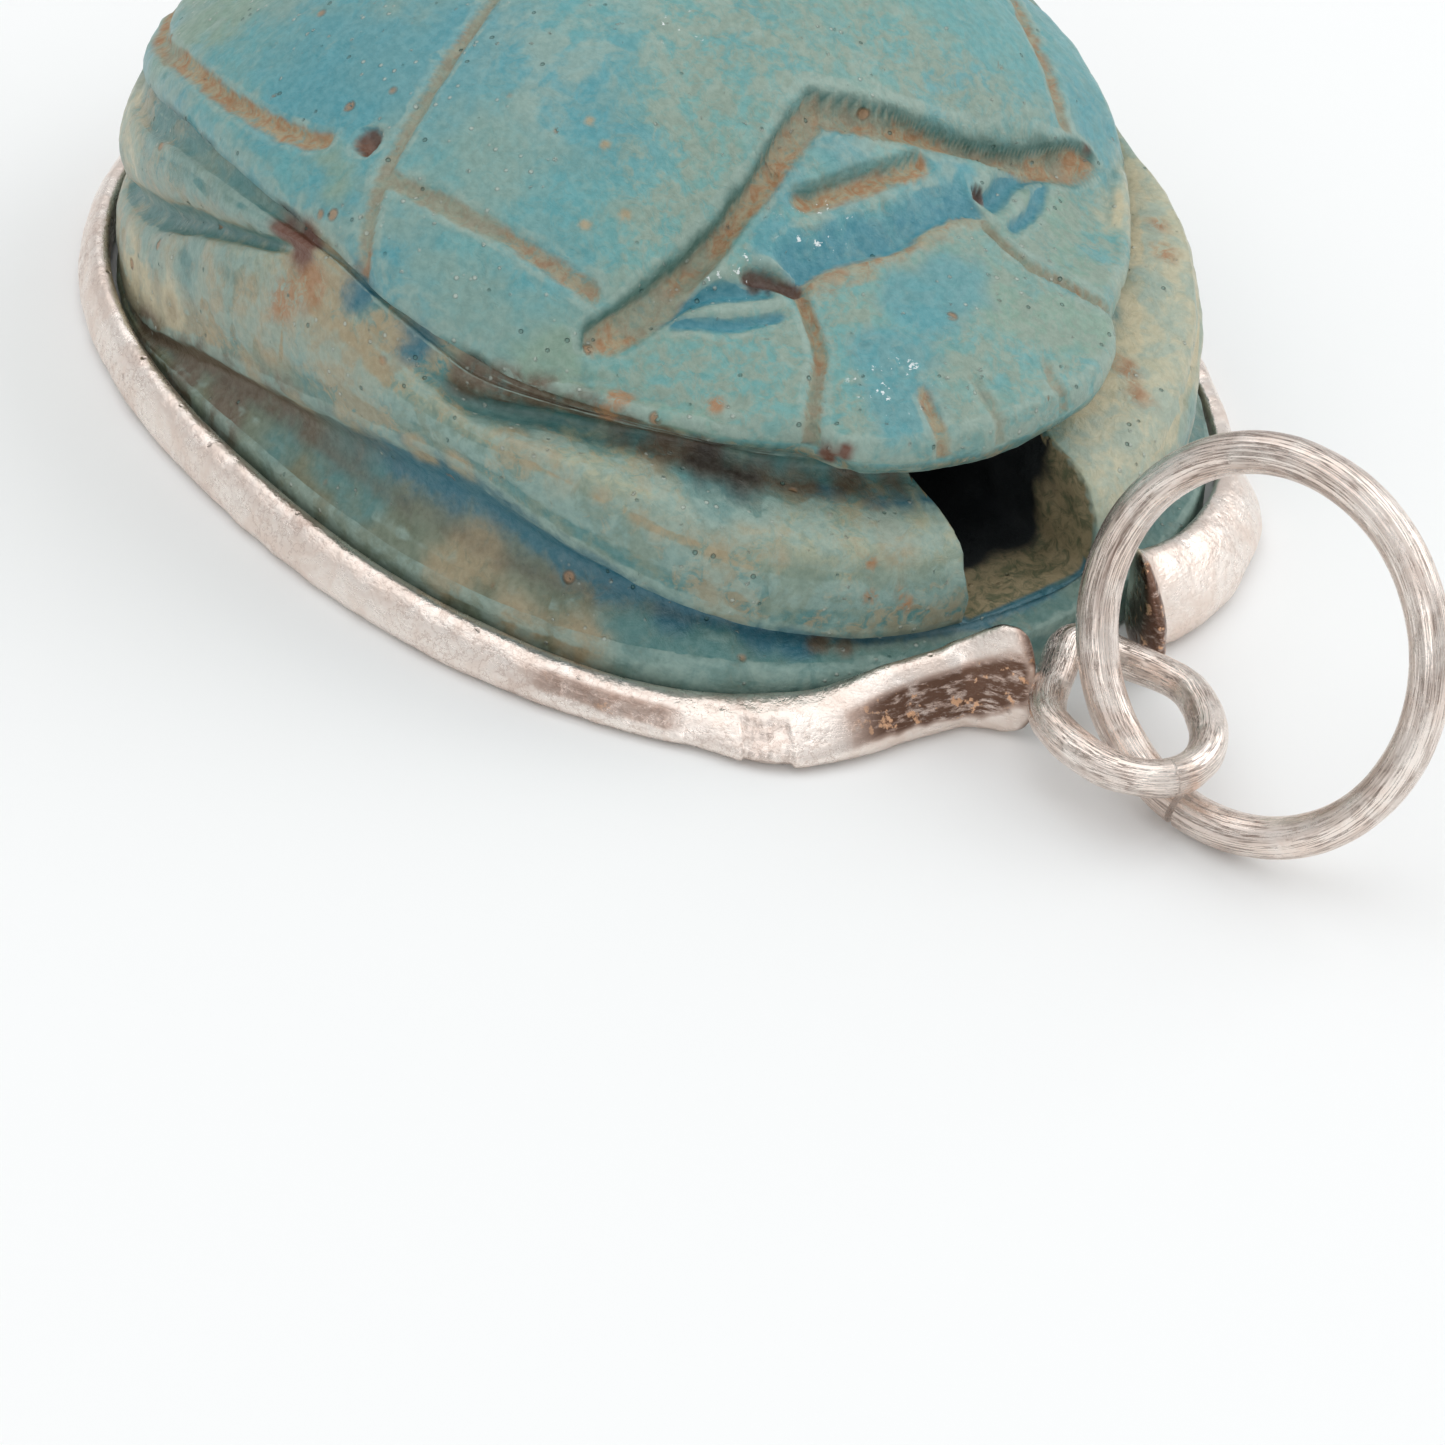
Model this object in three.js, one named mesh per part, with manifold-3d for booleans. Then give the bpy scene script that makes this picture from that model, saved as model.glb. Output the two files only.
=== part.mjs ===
// Scarab amulet: a carved and glazed beetle in a bent silver band, with a soldered loop and a split ring.
// Millimetres, +Z up. The origin is the middle of the beetle's flat underside, +X points along the body to
// the head, and +Y is the beetle's left side.
import * as THREE from 'three';
import { mergeVertices } from 'three/addons/utils/BufferGeometryUtils.js';
import Module from 'manifold-3d';

// Driving dimensions
const base = { halfLength: 12.25, halfWidth: 9.15, power: 2.35, bevel: 0.12, underShare: 0.5 };
const dome = { top: 9.7, power: 0.85 };
const fit = 0.18;
const loop = {
  centre: [15.3, -0.785, 1.343], halfLength: 2.08, halfWidth: 1.4, turn: -15.7, pinch: 0.5, wire: 0.37,
};
const ring = {
  centre: [17.4, 0.307, 3.598], normal: [0.181, -0.921, 0.345], radius: 3.4, wire: 0.39,
  splitAngle: 277, splitGap: 0.14,
};
const bore = { halfWidth: 1.5, floor: 1.2, height: 2.6, depth: 5.2, radius: 1.1, level: 2.5, overrun: 0.5 };
const groove = { broad: 0.34, fine: 0.24, proud: 0.02, sides: 4, steps: 7 };

// Mesh density
const turns = 84;
const domeRows = { count: 9, offset: 0.6 };
const holeSides = 20;
const wireSides = 9;
const loopSteps = 32;
const ringSteps = 48;
const weld = 1e-5;

// The side of the beetle, seen along its flank. Each table gives, for an angle in degrees round from the
// head (0) to the tail (180), the height or the share of the base outline that a row of the carving has.
const side = [
  { name: 'plate top',
    z: [[0, 1.0], [30, 1.25], [90, 1.25], [108, 1.1], [130, 0.5], [180, 0.3]],
    k: [[0, 1]] },
  { name: 'recess',
    z: [[0, 1.15], [18, 1.35], [32, 1.75], [49, 2.25], [58, 2.45], [75, 2.2], [96, 1.85], [108, 1.5],
      [130, 0.62], [180, 0.38]],
    k: [[0, 0.955], [40, 0.925], [75, 0.92], [100, 0.94], [130, 0.992]] },
  { name: 'leg lower edge',
    z: [[0, 1.3], [18, 1.55], [32, 2.15], [49, 3.16], [58, 3.7], [75, 3.26], [96, 2.46], [108, 2.0],
      [128, 0.8], [150, 0.5], [180, 0.45]],
    k: [[0, 0.965], [90, 0.965], [130, 0.995]] },
  { name: 'leg face',
    z: [[0, 2.1], [18, 2.3], [32, 2.95], [49, 3.8], [58, 4.1], [75, 4.1], [96, 3.6], [112, 2.9],
      [144, 1.0], [180, 0.8]],
    k: [[0, 0.97], [60, 0.975], [112, 0.985], [144, 1.0]] },
  { name: 'leg crest',
    z: [[0, 2.9], [18, 3.27], [28, 3.52], [37, 4.06], [47, 4.48], [57, 4.55], [70, 4.95], [85, 5.4],
      [112, 3.9], [128, 2.5], [144, 1.5], [180, 1.2]],
    k: [[0, 0.94], [47, 0.948], [66, 0.952], [86, 0.945], [112, 0.965], [144, 0.997]] },
  { name: 'lobe split',
    z: [[0, 3.55], [12, 3.75], [22, 4.04], [32, 4.4], [43, 4.55], [57, 4.6], [70, 5.3], [85, 5.78],
      [97, 5.2], [112, 4.3], [128, 3.05], [144, 2.1], [180, 1.7]],
    k: [[0, 0.8], [32, 0.79], [48, 0.83], [60, 0.905], [72, 0.935], [86, 0.93], [112, 0.925], [144, 0.965]] },
  { name: 'upper lobe',
    z: [[0, 3.95], [22, 4.3], [43, 4.72], [57, 5.0], [70, 5.5], [85, 5.95], [112, 5.05], [144, 3.1],
      [180, 2.6]],
    k: [[0, 0.86], [20, 0.79], [32, 0.8], [48, 0.85], [60, 0.905], [86, 0.93], [112, 0.955], [144, 0.99]] },
  { name: 'lobe shoulder',
    z: [[0, 4.15], [25, 4.45], [44, 4.85], [57, 5.15], [70, 5.65], [85, 6.0], [112, 5.6], [144, 4.0],
      [180, 3.4]],
    k: [[0, 0.89], [17, 0.858], [22, 0.81], [32, 0.81], [48, 0.855], [60, 0.9], [86, 0.915], [112, 0.935],
      [144, 0.965]] },
  { name: 'rim below',
    z: [[0, 4.35], [25, 4.6], [44, 4.95], [57, 5.3], [70, 5.78], [82, 6.08], [104, 6.05], [119, 5.75],
      [144, 4.6], [180, 3.9]],
    k: [[0, 0.9], [8, 0.895], [17, 0.868], [22, 0.82], [32, 0.82], [44, 0.84], [57, 0.875], [70, 0.892],
      [119, 0.9], [144, 0.925], [180, 0.93]] },
  { name: 'rim above',
    z: [[0, 4.8], [25, 5.05], [44, 5.35], [57, 5.65], [70, 6.1], [82, 6.4], [104, 6.38], [119, 6.1],
      [144, 5.05], [180, 4.35]],
    k: [[0, 0.905], [8, 0.9], [17, 0.873], [22, 0.825], [32, 0.825], [44, 0.848], [57, 0.885], [70, 0.905],
      [119, 0.915], [144, 0.94], [180, 0.945]] },
];

// The back: a dome that ends at a vee-shaped line, and the head that slopes down in front of it. The front of
// the dome has an edge of its own, the shoulder.
const vee = { apex: 4.75, sweep: 1.3, span: 5.75, bend: 1.2, blendFrom: -0.2, blendTo: 0.5 };
const headSlope = [[0, 9.3], [vee.apex, 8.25], [6, 7.35], [7.26, 6.55], [9, 5.95], [11.2, 5.0], [12.3, 4.6]];
const headFall = { rate: 0.055, power: 1.9 };
const shoulder = {
  reach: [[0, 7.9], [28, 7.8], [43, 8.75], [60, 9.2]],
  level: 5.4, fadeFrom: 50, fadeTo: 75,
};

// The carved lines on the back, as places in plan. Those of the first list lie on both sides.
const mirroredLines = [
  { name: 'vee', width: groove.broad, points: [[4.75, 0], [5.2, 1.9], [5.6, 3.6], [5.95, 5], [6.05, 5.9]] },
  { name: 'wing root', width: groove.broad,
    points: [[-1.6, 0], [-1.1, 2.2], [-0.4, 4], [0.3, 5.4], [1.1, 7], [1.6, 7.8], [2.3, 8.4]] },
  { name: 'wing side', width: groove.fine,
    points: [[0, 7.3], [-1.2, 7.55], [-2.7, 7.65], [-5.1, 7.3], [-8, 6.4], [-10.2, 4.6]] },
  { name: 'shoulder side', width: groove.fine,
    points: [[1.5, 7.1], [2.65, 6.8], [3.7, 6.4], [4.7, 6], [5.6, 5.5]] },
  { name: 'cheek', width: groove.broad, points: [[6.3, 5.4], [6.45, 4.1], [6.85, 3.3], [7.1, 2.3]] },
  { name: 'clypeus side', width: groove.fine,
    points: [[7.1, 2.2], [7.8, 2.25], [8.4, 2.6], [9, 3.1], [9.5, 3.6]] },
  { name: 'clypeus back', width: groove.fine, points: [[7.05, 2.3], [7.05, 1], [7.2, 0]] },
];
const singleLines = [
  { name: 'wing seam', width: groove.fine, points: [[-1.5, 0], [-5, 0], [-8.5, 0], [-11, 0]] },
  { name: 'brow', width: groove.broad, points: [[5.95, -1.5], [6.15, -0.7], [6.15, 0.2], [6, 1.9]] },
  { name: 'right notch', width: groove.fine, points: [[10, -1.45], [10.9, -1.7], [11.5, -1.8]] },
  { name: 'middle notch', width: groove.fine, points: [[10.3, -0.3], [11, -0.45], [11.6, -0.5]] },
  { name: 'left notch', width: groove.fine, points: [[10.1, 1.45], [10.9, 1.3], [11.5, 1.25]] },
];
const drilledPits = { radius: 0.42, places: [[7.1, 2.35], [0.35, 7]] };

// The band, by angle from the head: the height of its upper edge, how much higher that is on each side, and
// how far the outer face swells on each side.
const bandTop = [
  [6, 1.85], [10, 1.62], [16, 1.45], [23.4, 0.95], [35, 0.78], [55, 0.95], [90, 1.05], [180, 1.1],
];
const bandRise = {
  left: [[6, 0.4], [8, 0.5], [10, 0.35], [12, 0.28], [16, 0.15], [23.4, 0.45], [29, 0.4], [36, 0]],
  right: [[6, 0.75], [8, 0.42], [10, 0.1], [12, 0]],
};
const bandSwell = {
  left: [[6, 0.2], [12, 0.4], [18, 0.45], [26, 0.4], [31, 0.25], [37, -0.15], [48, -0.15], [60, 0]],
  right: [[6, 0.1], [14, 0.15], [20, 0.5], [26, 0.75], [33, 0.3], [45, 0.08], [90, 0]],
};
const bandEnds = { left: 5.6, right: 6.2, flareFrom: 5, flare: 0.95, crowding: 0.7, steps: 68 };
const flareTo = { left: 9.5, right: 11 };
const bandWall = { lift: 0.04, foot: 0.6, innerDrop: 0.12 };
const bandOuterFace = [  // upwards: the share of the height, the wall's thickness and the share of the swell
  { height: 0.35, wall: 0.7, swell: 1 },
  { height: 0.8, wall: 0.52, swell: 0.45 },
  { height: 1, wall: 0.3, swell: 0 },
  { height: 1, wall: 0.08, swell: 0 },
];

const { smoothstep, lerp } = THREE.MathUtils;
const radians = (degrees) => degrees * Math.PI / 180;

// Smooth curve through a table of points, with no overshoot between them.
function along(table, t) {
  if (t <= table[0][0]) return table[0][1];
  const last = table.length - 1;
  if (t >= table[last][0]) return table[last][1];
  let i = 0;
  while (t > table[i + 1][0]) i += 1;
  const slope = (j) => (table[j + 1][1] - table[j][1]) / (table[j + 1][0] - table[j][0]);
  const tangent = (j) => {
    if (j === 0 || j === last) return 0;
    const [before, after] = [slope(j - 1), slope(j)];
    return before * after > 0 ? 2 * before * after / (before + after) : 0;
  };
  const width = table[i + 1][0] - table[i][0];
  const s = (t - table[i][0]) / width;
  const [s2, s3] = [s * s, s * s * s];
  return (2 * s3 - 3 * s2 + 1) * table[i][1] + (s3 - 2 * s2 + s) * width * tangent(i)
    + (3 * s2 - 2 * s3) * table[i + 1][1] + (s3 - s2) * width * tangent(i + 1);
}

// Radius of the base outline in a direction.
function outlineRadius(angle) {
  const across = Math.abs(Math.cos(angle) / base.halfLength) ** base.power;
  const beside = Math.abs(Math.sin(angle) / base.halfWidth) ** base.power;
  return (across + beside) ** (-1 / base.power);
}

const fromHead = (angle) => Math.abs(Math.atan2(Math.sin(angle), Math.cos(angle))) * 180 / Math.PI;

// Height of the beetle's back over a place in plan.
function backHeight(x, y) {
  const angle = Math.atan2(y, x);
  const reach = Math.hypot(x, y);
  const turn = fromHead(angle);
  const rim = side[side.length - 1];
  const rimRadius = along(rim.k, turn) * outlineRadius(angle);
  const front = 1 - smoothstep(turn, shoulder.fadeFrom, shoulder.fadeTo);
  const edge = lerp(rimRadius, along(shoulder.reach, turn), front);
  const level = lerp(along(rim.z, turn), shoulder.level, front);
  const share = Math.min(1, reach / edge);
  const round = level + (dome.top - level) * (1 - share * share) ** dome.power;
  const slope = along(headSlope, x) - headFall.rate * Math.abs(y) ** headFall.power;
  const head = Math.max(slope, along(rim.z, turn));
  const ahead = x - (vee.apex + vee.sweep * (Math.abs(y) / vee.span) ** vee.bend);
  return lerp(round, head, smoothstep(ahead, vee.blendFrom, vee.blendTo));
}

// A closed geometry from loops of points, the first and last loop closed by a fan round their middles.
function loftLoops(loops) {
  const count = loops[0].length;
  const positions = loops.flat(2);
  const middle = (points) => [0, 1, 2].map((i) => points.reduce((sum, p) => sum + p[i], 0) / count);
  positions.push(...middle(loops[0]), ...middle(loops[loops.length - 1]));
  const first = loops.length * count;
  const faces = [];
  for (let i = 0; i < count; i += 1) {
    const next = (i + 1) % count;
    faces.push(first, next, i);
    for (let j = 0; j + 1 < loops.length; j += 1) {
      const [low, high] = [j * count, (j + 1) * count];
      faces.push(low + i, low + next, high + next, low + i, high + next, high + i);
    }
    const top = (loops.length - 1) * count;
    faces.push(first + 1, top + i, top + next);
  }
  const geometry = new THREE.BufferGeometry();
  geometry.setAttribute('position', new THREE.Float32BufferAttribute(positions, 3));
  geometry.setIndex(faces);
  return geometry;
}

// The uncut beetle, as loops of points from the underside to the top.
function beetleGeometry() {
  const loops = [];
  const ringOf = (place) => Array.from({ length: turns }, (_, i) => place(2 * Math.PI * i / turns));
  const plan = (share, height) => ringOf((angle) => {
    const radius = outlineRadius(angle) * share(angle);
    return [radius * Math.cos(angle), radius * Math.sin(angle), height(angle)];
  });
  loops.push(plan(() => base.underShare, () => 0));
  loops.push(plan(() => 1 - base.bevel / base.halfWidth, () => 0));
  loops.push(plan(() => 1, () => base.bevel));
  for (const row of side) {
    loops.push(plan((a) => along(row.k, fromHead(a)), (a) => along(row.z, fromHead(a))));
  }
  const rim = side[side.length - 1];
  for (let j = 1; j <= domeRows.count; j += 1) {
    const inward = Math.cos(Math.PI / 2 * (j + domeRows.offset) / (domeRows.count + 1));
    loops.push(ringOf((angle) => {
      const radius = outlineRadius(angle) * along(rim.k, fromHead(angle)) * inward;
      const [x, y] = [radius * Math.cos(angle), radius * Math.sin(angle)];
      return [x, y, backHeight(x, y)];
    }));
  }
  return loftLoops(loops);
}

const wasm = await Module();
wasm.setup();

function toSolid(geometry) {
  const bare = geometry.clone();
  bare.deleteAttribute('normal');
  bare.deleteAttribute('uv');
  const merged = mergeVertices(bare, weld);
  return new wasm.Manifold(new wasm.Mesh({
    numProp: 3,
    vertProperties: new Float32Array(merged.attributes.position.array),
    triVerts: new Uint32Array(merged.index.array),
  }));
}

function toGeometry(solid) {
  const mesh = solid.getMesh();
  const geometry = new THREE.BufferGeometry();
  geometry.setAttribute('position', new THREE.Float32BufferAttribute(mesh.vertProperties, 3));
  geometry.setIndex(Array.from(mesh.triVerts));
  return geometry;
}

function roundSection(radius, sides) {
  const shape = new THREE.Shape();
  for (let i = 0; i < sides; i += 1) {
    const angle = 2 * Math.PI * i / sides;
    const point = [radius * Math.cos(angle), radius * Math.sin(angle)];
    if (i === 0) shape.moveTo(...point);
    else shape.lineTo(...point);
  }
  shape.closePath();
  return shape;
}

// A cutter that runs along a carved line, its middle just over the surface.
function lineCutter(line, mirror) {
  const plan = new THREE.CatmullRomCurve3(line.points.map(([x, y]) => new THREE.Vector3(x, y * mirror, 0)));
  const places = plan.getPoints(groove.steps)
    .map((p) => new THREE.Vector3(p.x, p.y, backHeight(p.x, p.y) + groove.proud));
  return toSolid(new THREE.ExtrudeGeometry(roundSection(line.width, groove.sides), {
    steps: groove.steps, bevelEnabled: false, extrudePath: new THREE.CatmullRomCurve3(places),
  }));
}

function pitCutter(x, y) {
  const ball = new THREE.IcosahedronGeometry(drilledPits.radius, 1);
  ball.translate(x, y, backHeight(x, y));
  return toSolid(ball);
}

function boreCutters() {
  const mouth = new THREE.BoxGeometry(bore.depth, 2 * bore.halfWidth, bore.height);
  mouth.translate(base.halfLength + bore.overrun - bore.depth / 2, 0, bore.floor + bore.height / 2);
  const length = 2 * (base.halfLength + 2 * bore.overrun);
  const hole = new THREE.CylinderGeometry(bore.radius, bore.radius, length, holeSides);
  hole.rotateZ(Math.PI / 2);
  hole.translate(0, 0, bore.level);
  return [toSolid(mouth), toSolid(hole)];
}

function scarabGeometry() {
  let solid = toSolid(beetleGeometry());
  for (const line of singleLines) solid = solid.subtract(lineCutter(line, 1));
  for (const mirror of [1, -1]) {
    for (const line of mirroredLines) solid = solid.subtract(lineCutter(line, mirror));
    for (const [x, y] of drilledPits.places) solid = solid.subtract(pitCutter(x, y * mirror));
  }
  for (const cutter of boreCutters()) solid = solid.subtract(cutter);
  return toGeometry(solid);
}

// The band's section at an angle: inner face, rounded upper edge and swelling outer face.
function bandSection(angle) {
  const turn = fromHead(angle);
  const inner = outlineRadius(angle) + fit;
  const hand = Math.sin(angle) < 0 ? 'right' : 'left';
  const top = along(bandTop, turn) + along(bandRise[hand], turn);
  const swell = along(bandSwell[hand], turn);
  const flare = bandEnds.flare * (1 - smoothstep(turn, bandEnds.flareFrom, flareTo[hand]));
  const profile = [
    [inner, bandWall.lift],
    [inner + bandWall.foot + swell, bandWall.lift],
    ...bandOuterFace.map((row) => [inner + row.wall + row.swell * swell, row.height * top]),
    [inner, top - bandWall.innerDrop],
  ];
  return profile.map(([radius, z]) => {
    const out = radius + flare;
    return [out * Math.cos(angle), out * Math.sin(angle), z];
  });
}

function bandGeometry() {
  const [start, end] = [radians(bandEnds.left), 2 * Math.PI - radians(bandEnds.right)];
  const loops = [];
  for (let i = 0; i <= bandEnds.steps; i += 1) {
    const share = i / bandEnds.steps;
    const eased = share - bandEnds.crowding * Math.sin(2 * Math.PI * share) / (2 * Math.PI);
    loops.push(bandSection(start + (end - start) * eased).reverse());
  }
  return loftLoops(loops);
}

// Closed or open curve of round wire.
class WireCurve extends THREE.Curve {
  constructor(place) {
    super();
    this.place = place;
  }

  getPoint(t, target = new THREE.Vector3()) {
    return target.copy(this.place(t));
  }
}

// The middle of the loop's wire: an ellipse, pinched where it is soldered between the ends of the band.
function loopPlace(angle) {
  const pinch = 1 - loop.pinch * smoothstep(-Math.cos(angle), 0, 1);
  const across = loop.halfWidth * Math.sin(angle) * pinch;
  const place = new THREE.Vector3(loop.halfLength * Math.cos(angle), across, 0);
  place.applyAxisAngle(new THREE.Vector3(0, 0, 1), radians(loop.turn));
  return place.add(new THREE.Vector3(...loop.centre));
}

function loopGeometry() {
  const nudge = 0.001;
  const loops = Array.from({ length: loopSteps }, (_, i) => {
    const angle = 2 * Math.PI * i / loopSteps;
    const middle = loopPlace(angle);
    const ahead = loopPlace(angle + nudge).sub(loopPlace(angle - nudge)).normalize();
    const out = new THREE.Vector3(ahead.y, -ahead.x, 0);
    return Array.from({ length: wireSides }, (__, j) => {
      const turn = 2 * Math.PI * j / wireSides;
      const rise = new THREE.Vector3(0, 0, loop.wire * Math.sin(turn));
      return middle.clone().addScaledVector(out, loop.wire * Math.cos(turn)).add(rise).toArray();
    });
  });
  return closedTube(loops);
}

// A ring-shaped geometry from loops of points that meet end to end.
function closedTube(loops) {
  const sides = loops[0].length;
  const faces = [];
  for (let i = 0; i < loops.length; i += 1) {
    const [here, there] = [i * sides, ((i + 1) % loops.length) * sides];
    for (let j = 0; j < sides; j += 1) {
      const next = (j + 1) % sides;
      faces.push(here + j, there + j, there + next, here + j, there + next, here + next);
    }
  }
  const geometry = new THREE.BufferGeometry();
  geometry.setAttribute('position', new THREE.Float32BufferAttribute(loops.flat(2), 3));
  geometry.setIndex(faces);
  return geometry;
}

function ringGeometry() {
  const centre = new THREE.Vector3(...ring.centre);
  const normal = new THREE.Vector3(...ring.normal).normalize();
  const level = new THREE.Vector3().crossVectors(normal, new THREE.Vector3(0, 0, 1)).normalize();
  const upward = new THREE.Vector3().crossVectors(level, normal);
  const gapAngle = ring.splitGap / ring.radius;
  const start = radians(ring.splitAngle) + gapAngle / 2;
  const curve = new WireCurve((t) => {
    const angle = start + (2 * Math.PI - gapAngle) * t;
    return centre.clone().addScaledVector(level, ring.radius * Math.cos(angle))
      .addScaledVector(upward, ring.radius * Math.sin(angle));
  });
  return new THREE.ExtrudeGeometry(roundSection(ring.wire, wireSides), {
    steps: ringSteps, bevelEnabled: false, extrudePath: curve,
  });
}

function piece(name, geometry, colour, roughness, metalness) {
  const material = new THREE.MeshStandardMaterial({ color: colour, roughness, metalness });
  const mesh = new THREE.Mesh(geometry, material);
  mesh.name = name;
  return mesh;
}

const amulet = new THREE.Group();
amulet.add(piece('scarab', scarabGeometry(), 0x6fa9a4, 0.45, 0));
amulet.add(piece('silver_band', bandGeometry(), 0xcbb8ad, 0.32, 1));
amulet.add(piece('bail_loop', loopGeometry(), 0xc2aea2, 0.3, 1));
amulet.add(piece('jump_ring', ringGeometry(), 0xc7b4a8, 0.28, 1));

export default amulet;
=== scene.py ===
import math

import bmesh
import bpy
import numpy as np
from mathutils import Matrix, Vector, kdtree


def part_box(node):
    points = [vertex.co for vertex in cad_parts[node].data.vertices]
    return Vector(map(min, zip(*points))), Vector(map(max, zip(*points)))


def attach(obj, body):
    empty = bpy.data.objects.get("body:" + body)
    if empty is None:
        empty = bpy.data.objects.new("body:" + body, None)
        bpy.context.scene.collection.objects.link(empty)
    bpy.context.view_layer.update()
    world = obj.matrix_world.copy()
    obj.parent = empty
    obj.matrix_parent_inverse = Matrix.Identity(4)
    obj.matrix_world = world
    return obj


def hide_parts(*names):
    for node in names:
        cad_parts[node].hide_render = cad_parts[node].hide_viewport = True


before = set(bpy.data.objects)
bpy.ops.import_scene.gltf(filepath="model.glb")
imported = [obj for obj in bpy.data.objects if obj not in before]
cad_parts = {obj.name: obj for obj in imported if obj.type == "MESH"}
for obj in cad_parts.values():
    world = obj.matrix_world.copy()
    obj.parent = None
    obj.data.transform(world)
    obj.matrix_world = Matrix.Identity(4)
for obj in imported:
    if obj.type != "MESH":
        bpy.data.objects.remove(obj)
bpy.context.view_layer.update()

mm = 0.001
print("frame loaded:", ", ".join(sorted(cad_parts)))


# Small helpers for numbers and shapes

def along(table, t, flat=True):  # smooth curve through a table, with no overshoot, flat at its ends or not
    xs, ys = np.array(table, float).T
    if len(xs) == 1:
        return np.full_like(np.asarray(t, float), ys[0])
    slopes = np.diff(ys) / np.diff(xs)
    before, after = slopes[:-1], slopes[1:]
    same = before * after > 0
    inner = np.where(same, 2 * before * after / np.where(same, before + after, 1), 0)
    tangents = np.concatenate([[0 if flat else slopes[0]], inner, [0 if flat else slopes[-1]]])
    t = np.clip(t, xs[0], xs[-1])
    i = np.clip(np.searchsorted(xs, t, side="right") - 1, 0, len(xs) - 2)
    width = xs[i + 1] - xs[i]
    s = (t - xs[i]) / width
    return ((2 * s**3 - 3 * s**2 + 1) * ys[i] + (s**3 - 2 * s**2 + s) * width * tangents[i]
            + (3 * s**2 - 2 * s**3) * ys[i + 1] + (s**3 - s**2) * width * tangents[i + 1])


def smooth(low, high, value):
    t = np.clip((value - low) / (high - low), 0, 1)
    return t * t * (3 - 2 * t)


def mix(first, second, share):
    return first + (second - first) * share


def roughness(points, size, seed):  # lattice noise from -1 to 1, in lumps of the given size
    q = points / size + 17.3 * seed
    corner = np.floor(q).astype(np.int64)
    f = q - corner
    f = f * f * (3 - 2 * f)
    total = np.zeros(len(points))
    for dx in (0, 1):
        for dy in (0, 1):
            for dz in (0, 1):
                step = corner + (dx, dy, dz)
                mixed = (step[:, 0] * 73856093) ^ (step[:, 1] * 19349663) ^ (step[:, 2] * 83492791)
                mixed = (mixed ^ (mixed >> 13)) * 1274126177
                level = ((mixed ^ (mixed >> 16)) & 0xFFFF) / 32767.5 - 1
                weight = np.ones(len(points))
                for axis, side in enumerate((dx, dy, dz)):
                    weight *= f[:, axis] if side else 1 - f[:, axis]
                total += weight * level
    return total


def lumps(points, size, seed, octaves=3):
    return sum(roughness(points, size / 2**i, seed + i) / 2**i for i in range(octaves))


def newPiece(name, points, faces, material=None):
    mesh = bpy.data.meshes.new(name)
    mesh.from_pydata([tuple(p) for p in points], [], [tuple(f) for f in faces])
    mesh.validate()
    mesh.shade_smooth()
    piece = bpy.data.objects.new(name, mesh)
    bpy.context.scene.collection.objects.link(piece)
    if material:
        mesh.materials.append(material)
    return piece


def gridFaces(rows, columns):  # quads over rows of points that close round on themselves
    low = np.arange(rows - 1)[:, None] * columns
    j = np.arange(columns)[None, :]
    k = (j + 1) % columns
    corners = [low + j, low + k, low + columns + k, low + columns + j]
    return np.stack(np.broadcast_arrays(*corners), -1).reshape(-1, 4)


def store(piece, name, values):
    attribute = piece.data.attributes.new(name, "FLOAT", "POINT")
    attribute.data.foreach_set("value", np.asarray(values, np.float32))


def catmull(points, samples=12):  # points along a smooth line through a few places
    p = np.array(points, float)
    p = np.vstack([2 * p[0] - p[1], p, 2 * p[-1] - p[-2]])
    t = np.linspace(0, 1, samples, endpoint=False)[:, None]
    parts = [0.5 * (2 * b + (c - a) * t + (2 * a - 5 * b + 4 * c - d) * t**2 + (3 * b - a - 3 * c + d) * t**3)
             for a, b, c, d in zip(p, p[1:], p[2:], p[3:])]
    return np.vstack(parts + [p[-2:-1]])


def fromStretch(x, y, a, b):  # the way in plan from the stretch a to b, and the place along it, from 0 to 1
    run = b - a
    t = np.clip(((x - a[0]) * run[0] + (y - a[1]) * run[1]) / (run @ run), 0, 1)
    return x - a[0] - t * run[0], y - a[1] - t * run[1], t


# Shader maths: a socket that adds, multiplies and so on, and a material that makes nodes

class Value:
    def __init__(self, finish, socket):
        self.finish, self.socket = finish, socket

    def maths(self, operation, first, second):
        return self.finish.make("ShaderNodeMath", {"operation": operation}, {0: first, 1: second})

    def __add__(self, other):
        return self.maths("ADD", self, other)

    def __radd__(self, other):
        return self.maths("ADD", other, self)

    def __sub__(self, other):
        return self.maths("SUBTRACT", self, other)

    def __rsub__(self, other):
        return self.maths("SUBTRACT", other, self)

    def __mul__(self, other):
        return self.maths("MULTIPLY", self, other)

    def __rmul__(self, other):
        return self.maths("MULTIPLY", other, self)

    def highest(self, other):
        return self.maths("MAXIMUM", self, other)

    def span(self, low, high, lowest=0.0, most=1.0):  # smooth step from low to high
        return self.finish.make("ShaderNodeMapRange", {"interpolation_type": "SMOOTHSTEP", "clamp": True},
                                {0: self, 1: low, 2: high, 3: lowest, 4: most})


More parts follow.
